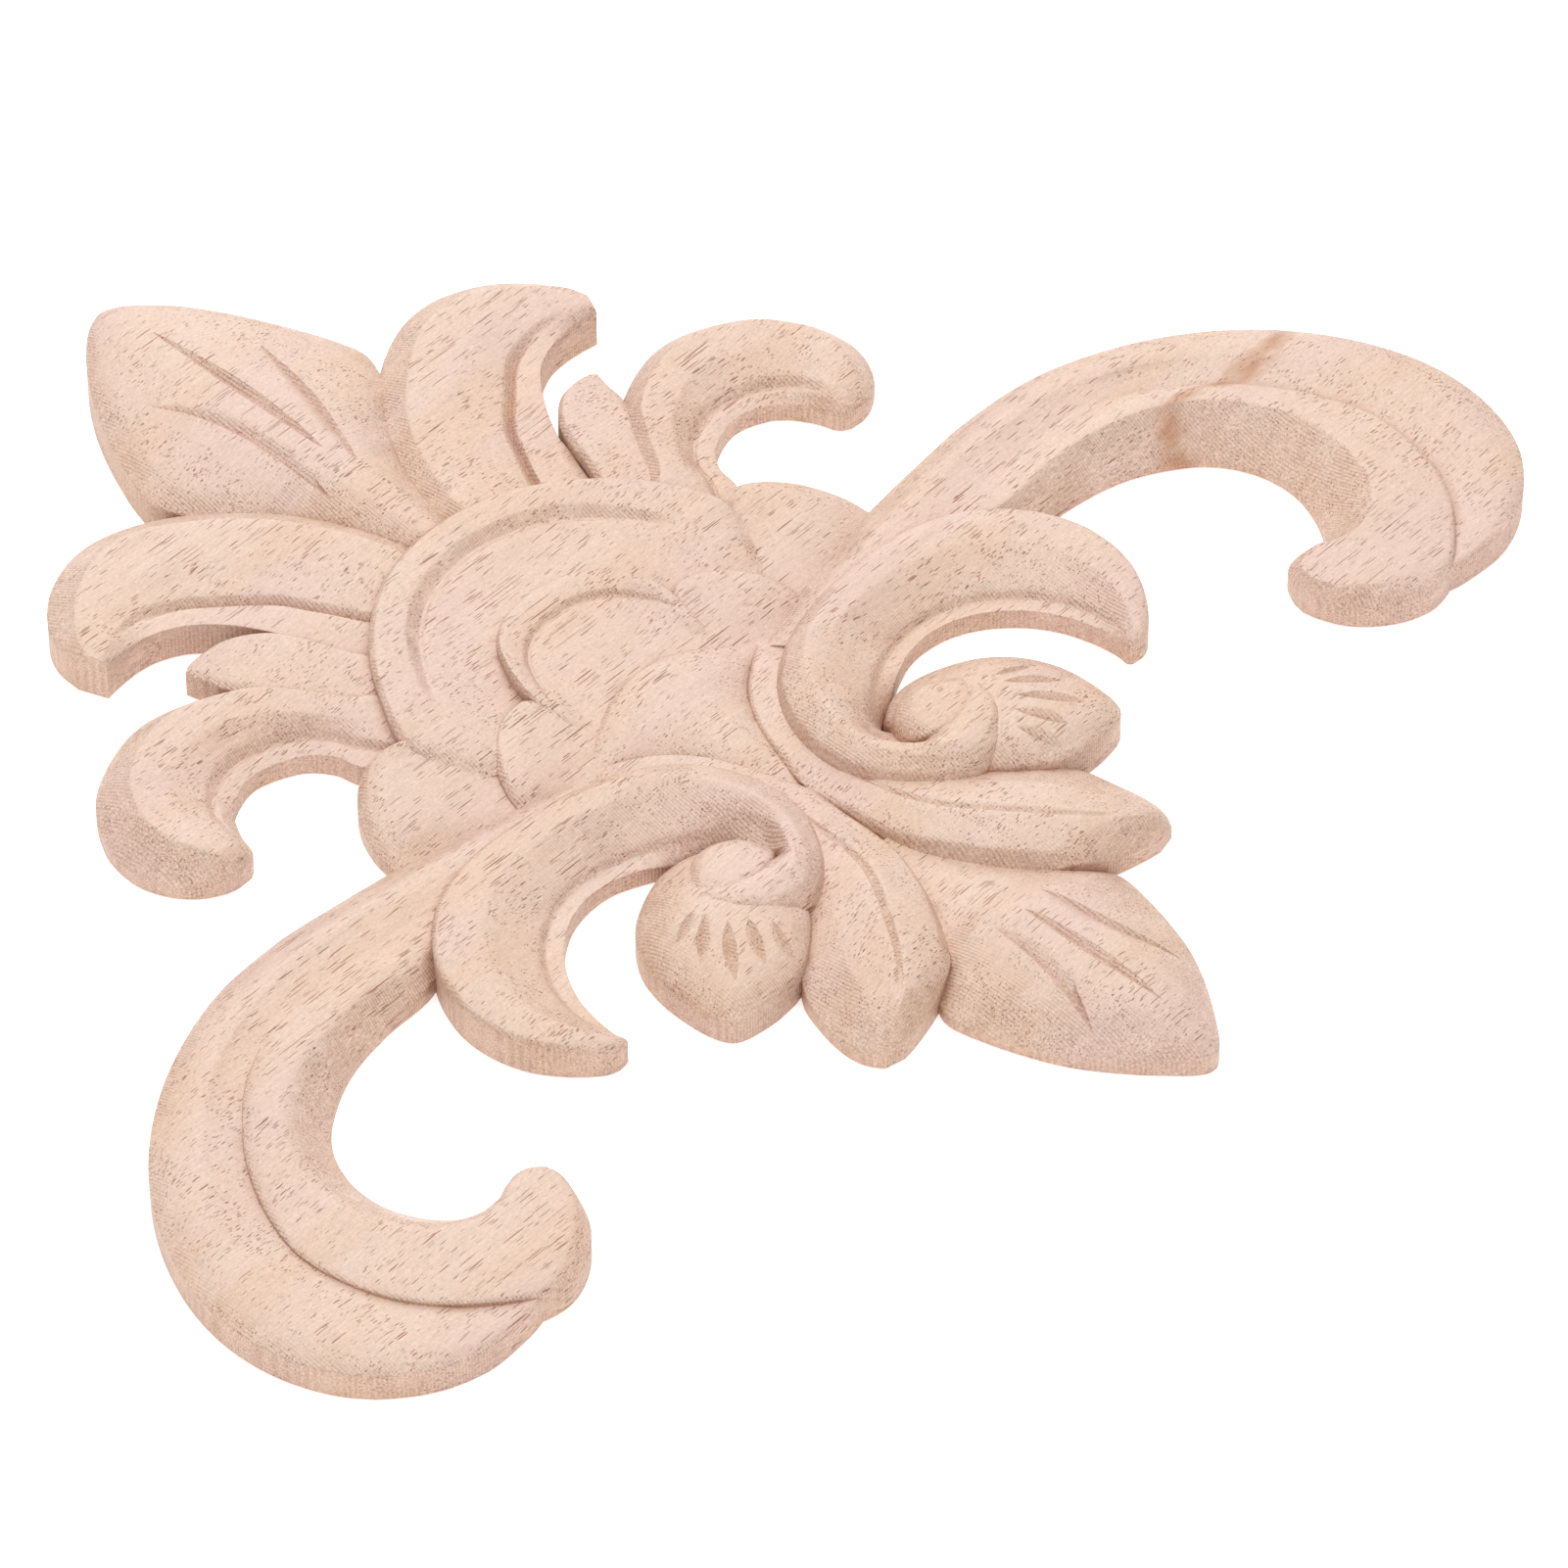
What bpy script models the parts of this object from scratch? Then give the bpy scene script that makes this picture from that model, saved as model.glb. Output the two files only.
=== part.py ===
import bpy
import bmesh
from mathutils import Vector
from mathutils.bvhtree import BVHTree

# One carved wood applique: leaf, curls, shell, shield and scroll wings in one piece, flat back.
# X runs across the wings, +Y towards the upper leaf, Z up from the flat back. Plan sizes in millimetres.
MM = 0.001
BACK_ALLOWANCE = 2.0
STEPS = 2
JOIN_DISTANCE = 0.000004
BLOCK_SIZE = (0.4, 0.4, 0.02)
PROBE_HEIGHT = 0.1
LEAF_CREST_AT = 0.16
LEAF_MIDDLE_AT = 0.45
LEAF_MIDDLE_RISE = 0.72
CUT_END_DEPTH = 0.06
CUT_END_WIDTH = 0.35

WOOD_COLOUR = (0.72, 0.50, 0.36, 1.0)
WOOD_ROUGHNESS = 0.62

# Every form is a loft through sections. A section is the point on one edge, the point on the other
# edge, then heights at distances in from the first edge and heights at distances in from the second.
TOP_LEAF_HALF = [
    (37.0, 3.5, 5.0, 5.6, 6.8), (44.0, 5.5, 5.0, 6.0, 7.6), (50.0, 8.0, 4.8, 6.2, 8.4),
    (57.0, 12.5, 4.8, 6.2, 9.0), (63.0, 17.6, 4.8, 6.4, 9.3), (69.0, 20.3, 4.9, 6.6, 9.4),
    (74.0, 19.4, 5.1, 6.8, 9.4), (79.4, 17.3, 5.4, 7.0, 9.4), (84.1, 15.1, 5.7, 7.2, 9.3),
    (88.7, 12.5, 6.1, 7.5, 9.2), (93.2, 9.3, 6.5, 7.7, 8.9), (96.6, 6.2, 6.8, 7.6, 8.5),
    (98.8, 3.6, 7.0, 7.5, 8.0), (99.8, 1.6, 7.1, 7.4, 7.7), (100.0, 0.6, 7.3, 7.4, 7.5),
]
BOTTOM_LEAF_HALF = [
    (-44.0, 2.5, 2.5, 3.0, 3.4), (-52.0, 5.5, 2.5, 3.2, 3.6), (-60.0, 9.5, 2.2, 3.6, 4.8),
    (-66.0, 14.9, 1.6, 3.9, 6.6), (-70.0, 16.9, 1.5, 4.0, 7.4), (-75.7, 15.9, 1.6, 4.1, 7.6),
    (-80.8, 14.3, 1.8, 4.2, 7.6), (-85.4, 12.4, 2.0, 4.2, 7.4), (-89.6, 9.9, 2.2, 4.1, 6.9),
    (-93.3, 7.2, 2.4, 3.7, 5.9), (-96.3, 4.7, 2.5, 3.4, 4.7), (-98.6, 2.6, 2.6, 3.0, 3.6),
    (-99.7, 1.2, 2.4, 2.7, 3.0), (-100.0, 0.5, 2.4, 2.6, 2.8),
]
CURL_UPPER = [
    ((2.7, 35.5), (20.0, 28.5), [(0, 5.0), (1.3, 6.2), (3.0, 6.8), (8.0, 6.2)],
     [(6.0, 5.0), (5.0, 3.8), (4.4, 4.9), (0, 4.9)]),
    ((3.4, 42.0), (22.0, 33.5), [(0, 5.0), (1.3, 6.2), (3.0, 6.8), (8.0, 6.2)],
     [(5.6, 5.0), (4.6, 3.7), (4.0, 4.9), (0, 5.0)]),
    ((6.8, 51.0), (23.9, 37.1), [(0, 5.0), (1.3, 6.1), (3.0, 6.6), (9.0, 6.3)],
     [(5.6, 5.1), (4.6, 3.8), (4.0, 5.0), (0, 5.2)]),
    ((11.3, 58.2), (25.7, 40.3), [(0, 4.9), (1.3, 6.0), (3.0, 6.7), (10.0, 6.5)],
     [(5.9, 5.3), (4.9, 3.9), (4.2, 5.1), (0, 5.3)]),
    ((18.7, 65.2), (29.8, 44.8), [(0, 4.7), (1.4, 6.3), (3.2, 7.3), (11.0, 6.9)],
     [(5.7, 5.4), (4.7, 4.1), (4.0, 5.2), (0, 5.3)]),
    ((27.2, 69.7), (33.8, 49.2), [(0, 4.6), (1.5, 6.4), (3.4, 7.6), (11.0, 7.2)],
     [(5.0, 5.8), (4.0, 4.5), (3.3, 5.3), (0, 5.3)]),
    ((34.3, 70.4), (37.5, 51.2), [(0, 4.6), (1.6, 6.4), (3.8, 7.7), (10.5, 7.3)],
     [(4.0, 6.3), (3.1, 5.3), (2.4, 5.6), (0, 5.3)]),
    ((41.2, 67.8), (40.8, 51.8), [(0, 4.6), (1.8, 6.3), (4.4, 7.6), (9.0, 7.3)],
     [(3.2, 6.7), (2.4, 6.2), (1.7, 6.1), (0, 5.4)]),
    ((46.0, 63.4), (43.6, 51.7), [(0, 4.7), (2.0, 6.3), (4.6, 7.4), (7.4, 7.3)],
     [(2.6, 7.0), (1.9, 6.8), (1.2, 6.5), (0, 5.6)]),
    ((48.1, 59.5), (45.5, 51.5), [(0, 4.9), (1.6, 6.3), (3.4, 7.2), (5.0, 7.2)],
     [(2.2, 7.0), (1.6, 6.9), (1.0, 6.7), (0, 5.9)]),
    ((48.5, 55.4), (47.0, 51.2), [(0, 5.2), (0.7, 6.2), (1.4, 6.8), (2.1, 6.9)],
     [(1.6, 6.8), (1.2, 6.7), (0.8, 6.6), (0, 6.0)]),
]
CURL_LOWER = [
    ((25.7, 22.9), (33.8, 11.3), [(0, 4.6), (1.2, 5.8), (2.6, 6.3), (5.0, 5.4)],
     [(4.4, 4.6), (3.6, 3.6), (3.0, 3.9), (0, 3.6)]),
    ((28.4, 25.6), (36.3, 15.3), [(0, 4.7), (1.2, 5.8), (2.6, 6.4), (6.0, 5.5)],
     [(4.4, 4.6), (3.6, 3.6), (3.0, 3.9), (0, 3.6)]),
    ((31.5, 30.7), (37.2, 19.1), [(0, 4.6), (1.3, 5.8), (2.8, 6.6), (7.0, 5.6)],
     [(4.4, 4.5), (3.5, 3.4), (2.9, 3.8), (0, 3.5)]),
    ((37.5, 37.8), (40.1, 22.6), [(0, 3.4), (1.3, 5.2), (2.9, 6.7), (8.5, 5.8)],
     [(4.3, 4.4), (3.3, 3.2), (2.6, 3.6), (0, 3.2)]),
    ((49.9, 42.1), (46.0, 24.8), [(0, 3.2), (1.5, 5.2), (3.4, 6.8), (9.0, 5.9)],
     [(4.2, 4.3), (3.1, 3.0), (2.3, 3.4), (0, 2.9)]),
    ((61.5, 38.3), (51.0, 23.4), [(0, 2.7), (1.9, 5.1), (4.4, 6.7), (9.5, 6.0)],
     [(4.0, 4.5), (3.0, 3.2), (2.2, 3.6), (0, 2.9)]),
    ((67.4, 31.3), (53.5, 21.2), [(0, 2.2), (2.1, 5.0), (5.0, 6.6), (9.5, 6.0)],
     [(3.4, 4.9), (2.5, 3.8), (1.8, 4.0), (0, 2.9)]),
    ((68.9, 24.8), (54.9, 18.9), [(0, 2.0), (2.1, 4.9), (5.2, 6.5), (9.0, 6.0)],
     [(2.8, 5.3), (2.0, 4.6), (1.3, 4.5), (0, 2.9)]),
    ((67.8, 20.0), (55.6, 17.3), [(0, 2.0), (2.0, 4.6), (5.0, 6.1), (8.0, 5.9)],
     [(2.4, 5.4), (1.7, 5.0), (1.0, 4.6), (0, 2.9)]),
    ((65.2, 16.3), (56.0, 15.7), [(0, 2.0), (1.6, 4.0), (3.6, 5.2), (5.6, 5.3)],
     [(2.2, 5.0), (1.5, 4.7), (0.9, 4.3), (0, 2.8)]),
    ((61.9, 14.2), (56.7, 14.6), [(0, 2.2), (0.9, 3.4), (1.8, 4.1), (2.6, 4.3)],
     [(1.8, 4.2), (1.3, 4.0), (0.8, 3.6), (0, 2.7)]),
    ((60.1, 13.8), (57.9, 13.9), [(0, 2.2), (0.3, 2.8), (0.6, 3.1), (0.9, 3.2)],
     [(0.8, 3.2), (0.6, 3.1), (0.3, 2.9), (0, 2.5)]),
]
SMALL_LEAF = [
    ((21.7, 26.4), (27.7, 19.9), [(0, 5.6), (0.8, 6.3)], [(1.0, 5.3), (0, 4.6)]),
    ((24.2, 31.9), (31.8, 27.4), [(0, 5.7), (0.8, 6.5)], [(1.0, 5.2), (0, 4.6)]),
    ((25.6, 36.1), (35.8, 33.5), [(0, 5.6), (0.8, 6.4)], [(1.0, 5.0), (0, 4.4)]),
    ((27.8, 40.2), (38.2, 38.1), [(0, 5.4), (0.8, 6.2)], [(1.0, 4.6), (0, 4.0)]),
    ((31.8, 43.6), (38.8, 41.1), [(0, 5.0), (0.8, 5.6)], [(1.0, 4.4), (0, 3.9)]),
    ((35.8, 44.7), (39.4, 43.2), [(0, 4.4), (0.6, 4.8)], [(0.6, 4.2), (0, 3.8)]),
    ((38.2, 44.9), (39.6, 44.1), [(0, 3.8), (0.4, 4.1)], [(0.4, 4.0), (0, 3.8)]),
]
SHELL_HALF = [
    ((0.0, 37.3), (0.0, 6.0), [(0, 6.9), (1.0, 8.1), (5.6, 5.9), (6.4, 6.2)], [(6.0, 4.0), (0, 3.4)]),
    ((10.0, 35.6), (4.0, 6.0), [(0, 6.9), (1.0, 8.1), (5.7, 5.8), (6.5, 6.1)], [(6.0, 4.0), (0, 3.4)]),
    ((18.0, 31.0), (8.0, 5.0), [(0, 7.0), (1.0, 8.2), (5.9, 5.7), (6.7, 6.0)], [(6.0, 3.9), (0, 3.2)]),
    ((24.5, 24.6), (10.0, 3.0), [(0, 7.0), (1.0, 8.2), (6.2, 5.7), (7.0, 5.9)], [(6.0, 3.8), (0, 3.0)]),
    ((29.0, 17.6), (11.0, 1.0), [(0, 6.6), (1.0, 7.7), (6.6, 5.7), (7.4, 5.8)], [(6.0, 3.8), (0, 2.8)]),
    ((31.3, 12.6), (12.0, -1.0), [(0, 5.6), (1.0, 6.6), (6.6, 5.6), (7.6, 5.6)], [(6.0, 3.7), (0, 2.6)]),
    ((32.0, 8.5), (13.0, -3.0), [(0, 2.0), (2.0, 4.6), (6.6, 5.2), (7.6, 5.1)], [(6.0, 3.3), (0, 2.2)]),
    ((31.0, 4.0), (14.0, -5.0), [(0, 1.6), (2.0, 3.0), (6.0, 3.6), (7.0, 3.6)], [(6.0, 2.6), (0, 1.8)]),
]
SHELL_SIDE = [
    ((29.6, 12.3), (16.0, 4.0), [(0, 5.0), (1.0, 6.2), (3.0, 6.1), (7.0, 5.3)], [(5.0, 4.2), (0, 3.4)]),
    ((31.9, 13.2), (17.0, 2.0), [(0, 5.3), (0.9, 6.3), (3.0, 6.1), (7.5, 5.3)], [(5.0, 4.2), (0, 3.4)]),
    ((35.6, 14.2), (18.0, 0.0), [(0, 4.5), (1.0, 5.6), (3.0, 5.9), (8.0, 5.2)], [(5.0, 3.8), (0, 3.0)]),
    ((39.5, 12.5), (19.0, -2.0), [(0, 3.6), (1.2, 4.9), (3.6, 5.5), (8.5, 4.9)], [(5.0, 3.3), (0, 2.6)]),
    ((43.0, 8.8), (20.0, -4.0), [(0, 2.8), (1.3, 4.2), (4.0, 4.9), (9.0, 4.3)], [(5.0, 2.7), (0, 2.2)]),
    ((45.2, 4.1), (21.2, -5.8), [(0, 2.2), (1.2, 3.1), (4.0, 3.7), (9.0, 3.3)], [(5.0, 2.2), (0, 1.9)]),
    ((45.9, -0.2), (22.2, -7.4), [(0, 1.6), (1.2, 1.9), (4.0, 2.0), (9.0, 1.9)], [(5.0, 1.7), (0, 1.6)]),
    ((45.9, -2.8), (23.2, -8.9), [(0, 1.4), (1.2, 1.5), (4.0, 1.5), (9.0, 1.5)], [(5.0, 1.4), (0, 1.4)]),
]
SCALLOP_HALF = [
    ((0.0, 19.8), (0.0, -3.0), [(0, 5.6), (0.5, 6.4), (4.2, 5.8), (4.9, 4.9), (5.6, 5.2)],
     [(8.0, 4.5), (0, 3.7)]),
    ((5.4, 19.0), (2.0, -3.5), [(0, 5.6), (0.5, 6.4), (4.2, 5.8), (4.9, 4.9), (5.6, 5.2)],
     [(8.0, 4.5), (0, 3.7)]),
    ((9.4, 16.3), (4.0, -4.0), [(0, 5.7), (0.5, 6.5), (4.0, 5.9), (4.7, 5.0), (5.4, 5.3)],
     [(8.0, 4.4), (0, 3.6)]),
    ((12.0, 12.2), (5.5, -5.0), [(0, 5.8), (0.5, 6.7), (3.8, 5.9), (4.4, 5.2), (5.0, 5.4)],
     [(7.0, 4.3), (0, 3.4)]),
    ((13.4, 8.0), (7.0, -6.0), [(0, 5.6), (0.5, 6.4), (3.2, 5.8), (3.8, 5.4), (4.4, 5.4)],
     [(7.0, 4.2), (0, 3.2)]),
    ((13.9, 4.5), (8.0, -7.0), [(0, 4.6), (0.5, 5.2), (2.6, 5.1), (3.0, 5.0), (3.6, 5.0)],
     [(6.0, 3.9), (0, 3.0)]),
    ((14.0, 1.0), (9.0, -8.0), [(0, 3.4), (0.5, 3.9), (1.6, 4.0), (2.0, 4.0), (2.6, 4.0)],
     [(5.0, 3.4), (0, 2.6)]),
]
SCALLOP_SIDE = [
    ((11.5, 5.6), (7.0, -5.0), [(0, 4.8), (0.6, 5.5), (2.0, 5.4)], [(5.0, 4.0), (0, 3.2)]),
    ((15.0, 7.0), (8.5, -6.0), [(0, 4.9), (0.6, 5.8), (2.0, 5.6)], [(5.5, 4.0), (0, 3.0)]),
    ((18.4, 6.8), (10.0, -7.0), [(0, 4.7), (0.6, 5.6), (2.5, 5.5)], [(6.0, 3.9), (0, 2.8)]),
    ((21.8, 5.0), (11.5, -8.0), [(0, 4.4), (0.7, 5.3), (3.0, 5.2)], [(6.0, 3.6), (0, 2.4)]),
    ((24.9, 1.7), (13.0, -9.0), [(0, 3.9), (0.8, 4.8), (3.4, 4.7)], [(6.0, 3.1), (0, 2.1)]),
    ((26.8, -2.3), (15.0, -9.6), [(0, 3.0), (0.8, 3.7), (3.4, 3.6)], [(5.0, 2.5), (0, 1.9)]),
    ((27.4, -5.6), (17.0, -10.0), [(0, 1.9), (0.8, 2.2), (3.0, 2.2)], [(4.0, 2.0), (0, 1.7)]),
]
SHIELD_HALF = [
    (-0.4, 1.5, 4.4, 4.7, 4.9), (-1.0, 6.0, 4.0, 4.6, 5.3), (-2.8, 10.4, 3.4, 4.2, 5.5),
    (-5.2, 14.6, 2.7, 3.5, 5.5), (-7.2, 16.6, 2.3, 2.9, 5.4), (-9.4, 13.0, 2.5, 3.2, 5.3),
    (-12.3, 9.2, 2.7, 3.4, 5.1), (-16.3, 6.0, 2.8, 3.5, 4.7), (-20.3, 4.0, 2.8, 3.4, 4.2),
    (-25.0, 2.4, 2.8, 3.2, 3.5), (-30.0, 1.0, 2.7, 2.8, 2.9),
]
SIDE_LEAF = [
    ((16.5, -7.0), (20.0, -12.0), [(0, 2.6), (0.4, 3.2), (1.0, 3.4)],
     [(1.6, 3.9), (1.2, 3.9), (0.8, 3.9), (0.4, 4.0), (0, 4.2)]),
    ((12.3, -9.3), (15.8, -13.8), [(0, 3.3), (0.4, 3.9), (1.0, 4.0)],
     [(2.0, 4.3), (1.5, 4.3), (1, 4.4), (0.5, 4.5), (0, 4.6)]),
    ((8.3, -12.3), (12.0, -17.0), [(0, 3.5), (0.4, 4.1), (1.0, 4.2)],
     [(2.4, 4.5), (1.8, 4.5), (1.2, 4.6), (0.6, 4.7), (0, 4.8)]),
    ((5.1, -16.3), (9.0, -20.8), [(0, 3.5), (0.4, 4.1), (1.0, 4.2)],
     [(2.4, 4.5), (1.8, 4.6), (1.2, 4.6), (0.6, 4.7), (0, 4.8)]),
    ((3.0, -20.5), (7.2, -24.2), [(0, 3.4), (0.4, 4.1), (1.0, 4.2)],
     [(2.4, 4.5), (1.8, 4.6), (1.2, 4.6), (0.6, 4.7), (0, 4.8)]),
    ((1.3, -25.2), (6.5, -28.0), [(0, 3.2), (0.4, 3.9), (1.0, 4.1)],
     [(2.4, 4.6), (1.8, 4.6), (1.2, 4.7), (0.6, 4.8), (0, 4.8)]),
    ((-0.1, -31.0), (6.8, -32.2), [(0, 3.7), (0.4, 3.9), (1.4, 4.2)],
     [(2.6, 4.7), (2, 4.7), (1.4, 4.7), (0.7, 4.8), (0, 4.8)]),
    ((-0.1, -37.0), (9.5, -37.6), [(0, 4.0), (0.4, 4.2), (2.0, 4.6)],
     [(4.6, 5.4), (4, 4.9), (3.4, 5.3), (1.7, 5.1), (0, 4.8)]),
    ((-0.1, -42.5), (13.5, -42.0), [(0, 4.1), (0.4, 4.4), (2.6, 5.0)],
     [(8.0, 5.9), (7.4, 5.3), (6.8, 5.9), (3.4, 5.5), (0, 4.6)]),
    ((0.6, -47.5), (19.0, -46.5), [(0, 4.4), (0.6, 5.0), (3.4, 5.8)],
     [(12.2, 6.7), (11.5, 6), (10.8, 6.6), (5.4, 5.8), (0, 4.2)]),
    ((2.2, -52.0), (23.7, -50.7), [(0, 4.6), (0.8, 5.4), (4.0, 6.4)],
     [(14.6, 7.3), (13.8, 6.6), (13, 7.2), (6.5, 6.0), (0, 3.8)]),
    ((4.8, -57.2), (27.0, -54.5), [(0, 4.8), (1.0, 5.7), (4.5, 6.8)],
     [(14.8, 7.6), (14, 6.9), (13.2, 7.5), (6.6, 6.0), (0, 3)]),
    ((8.2, -62.2), (28.6, -58.7), [(0, 4.9), (1.2, 5.8), (5.0, 7.0)],
     [(13.0, 7.6), (12.3, 7), (11.6, 7.5), (5.8, 5.7), (0, 2.2)]),
    ((12.2, -66.1), (29.4, -62.3), [(0, 4.6), (1.3, 5.6), (4.6, 6.7)],
     [(10.4, 7.3), (9.8, 6.9), (9.2, 7.2), (4.6, 5.4), (0, 1.9)]),
    ((17.0, -68.0), (29.5, -65.1), [(0, 3.4), (1.3, 4.8), (3.8, 6.1)],
     [(7.4, 6.7), (7, 6.5), (6.4, 6.5), (3.2, 4.9), (0, 1.8)]),
    ((21.8, -69.3), (28.9, -67.4), [(0, 2.8), (1.0, 3.9), (2.4, 5.0)],
     [(3.8, 5.2), (3.4, 5.1), (3, 5), (1.5, 3.9), (0, 1.8)]),
    ((24.8, -69.8), (27.8, -69.1), [(0, 2.2), (0.4, 2.9), (0.9, 3.2)],
     [(1.6, 3.3), (1.2, 3.2), (0.8, 3), (0.4, 2.5), (0, 1.9)]),
]
SCROLL_SMALL = [
    ((20.8, -50.1), (27.2, -38.1), [(0, 4.8), (1.0, 6.2), (2.6, 7.0), (5.0, 7.4)],
     [(4.0, 7.4), (3.0, 7.2), (0, 6.0)]),
    ((15.6, -45.9), (24.2, -35.6), [(0, 4.8), (1.0, 6.4), (3.0, 7.4), (5.6, 7.7)],
     [(3.8, 7.6), (2.8, 7.4), (0, 6.0)]),
    ((10.6, -42.3), (20.7, -34.3), [(0, 4.8), (0.9, 6.6), (3.4, 7.7), (6.2, 7.8)],
     [(3.4, 7.2), (2.4, 6.8), (0, 5.2)]),
    ((6.8, -38.6), (17.4, -33.6), [(0, 4.8), (0.8, 6.6), (3.8, 8.0), (6.6, 7.7)],
     [(3.0, 6.6), (2.0, 5.8), (0, 3.6)]),
    ((4.7, -34.2), (15.2, -32.4), [(0, 4.7), (0.7, 6.6), (4.2, 8.2), (6.8, 7.5)],
     [(2.6, 6.0), (1.6, 4.6), (0, 2.4)]),
    ((4.3, -29.4), (15.2, -30.2), [(0, 4.6), (0.7, 6.6), (4.4, 8.3), (7.0, 7.3)],
     [(2.6, 5.4), (1.6, 3.8), (0, 1.8)]),
    ((5.2, -24.4), (17.6, -28.2), [(0, 4.6), (0.7, 6.6), (4.6, 8.3), (7.4, 7.0)],
     [(3.0, 4.6), (2.0, 3.4), (0, 1.4)]),
    ((7.4, -19.4), (21.0, -26.4), [(0, 4.6), (0.7, 6.6), (4.6, 8.2), (7.6, 6.8)],
     [(3.2, 4.1), (2.4, 3.1), (0, 1.6)]),
    ((11.2, -14.9), (24.6, -24.4), [(0, 4.6), (0.8, 6.5), (4.0, 7.9), (7.0, 6.6)],
     [(3.4, 4.0), (2.6, 3.0), (0, 2.0)]),
    ((17.0, -11.2), (28.8, -22.8), [(0, 4.8), (0.9, 6.3), (3.2, 7.4), (6.2, 6.4)],
     [(3.4, 4.0), (2.6, 3.0), (0, 2.4)]),
    ((25.2, -8.7), (32.9, -22.6), [(0, 4.9), (1.0, 6.2), (2.6, 6.9), (5.6, 6.2)],
     [(3.4, 4.0), (2.6, 3.0), (0, 2.6)]),
    ((34.3, -7.9), (36.9, -23.5), [(0, 5.0), (0.9, 6.2), (2.4, 6.7), (5.6, 6.0)],
     [(3.4, 4.1), (2.6, 3.0), (0, 2.7)]),
    ((43.4, -8.9), (40.5, -25.5), [(0, 5.3), (0.8, 6.4), (3.0, 6.8), (6.6, 6.0)],
     [(3.4, 4.2), (2.6, 3.1), (0, 2.8)]),
    ((51.0, -12.3), (43.6, -28.3), [(0, 5.7), (0.7, 6.7), (3.8, 7.0), (7.4, 6.0)],
     [(3.4, 4.3), (2.6, 3.2), (0, 2.8)]),
    ((56.7, -18.1), (45.8, -31.3), [(0, 5.7), (0.7, 6.7), (4.2, 7.0), (7.6, 5.9)],
     [(3.2, 4.3), (2.4, 3.3), (0, 2.8)]),
    ((59.7, -24.8), (47.3, -34.5), [(0, 5.4), (0.7, 6.4), (4.4, 6.8), (7.4, 5.8)],
     [(2.9, 4.3), (2.2, 3.4), (0, 2.8)]),
    ((60.1, -30.7), (48.1, -37.5), [(0, 5.1), (0.7, 6.1), (4.4, 6.5), (7.0, 5.7)],
     [(2.5, 4.3), (1.9, 3.6), (0, 2.8)]),
    ((58.7, -36.1), (48.5, -40.1), [(0, 4.8), (0.7, 5.8), (4.2, 6.2), (6.2, 5.6)],
     [(2.0, 4.5), (1.5, 4.0), (0, 2.9)]),
    ((55.9, -40.5), (48.6, -42.2), [(0, 4.4), (0.7, 5.3), (3.2, 5.6), (4.6, 5.3)],
     [(1.4, 4.6), (1.0, 4.3), (0, 3.0)]),
    ((52.5, -43.8), (48.4, -43.7), [(0, 3.8), (0.5, 4.5), (1.6, 4.7), (2.4, 4.6)],
     [(0.9, 4.3), (0.7, 4.2), (0, 3.2)]),
    ((50.6, -44.5), (48.9, -44.3), [(0, 3.4), (0.3, 3.9), (0.7, 4.0), (0.9, 4.0)],
     [(0.5, 3.9), (0.4, 3.8), (0, 3.3)]),
]
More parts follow.
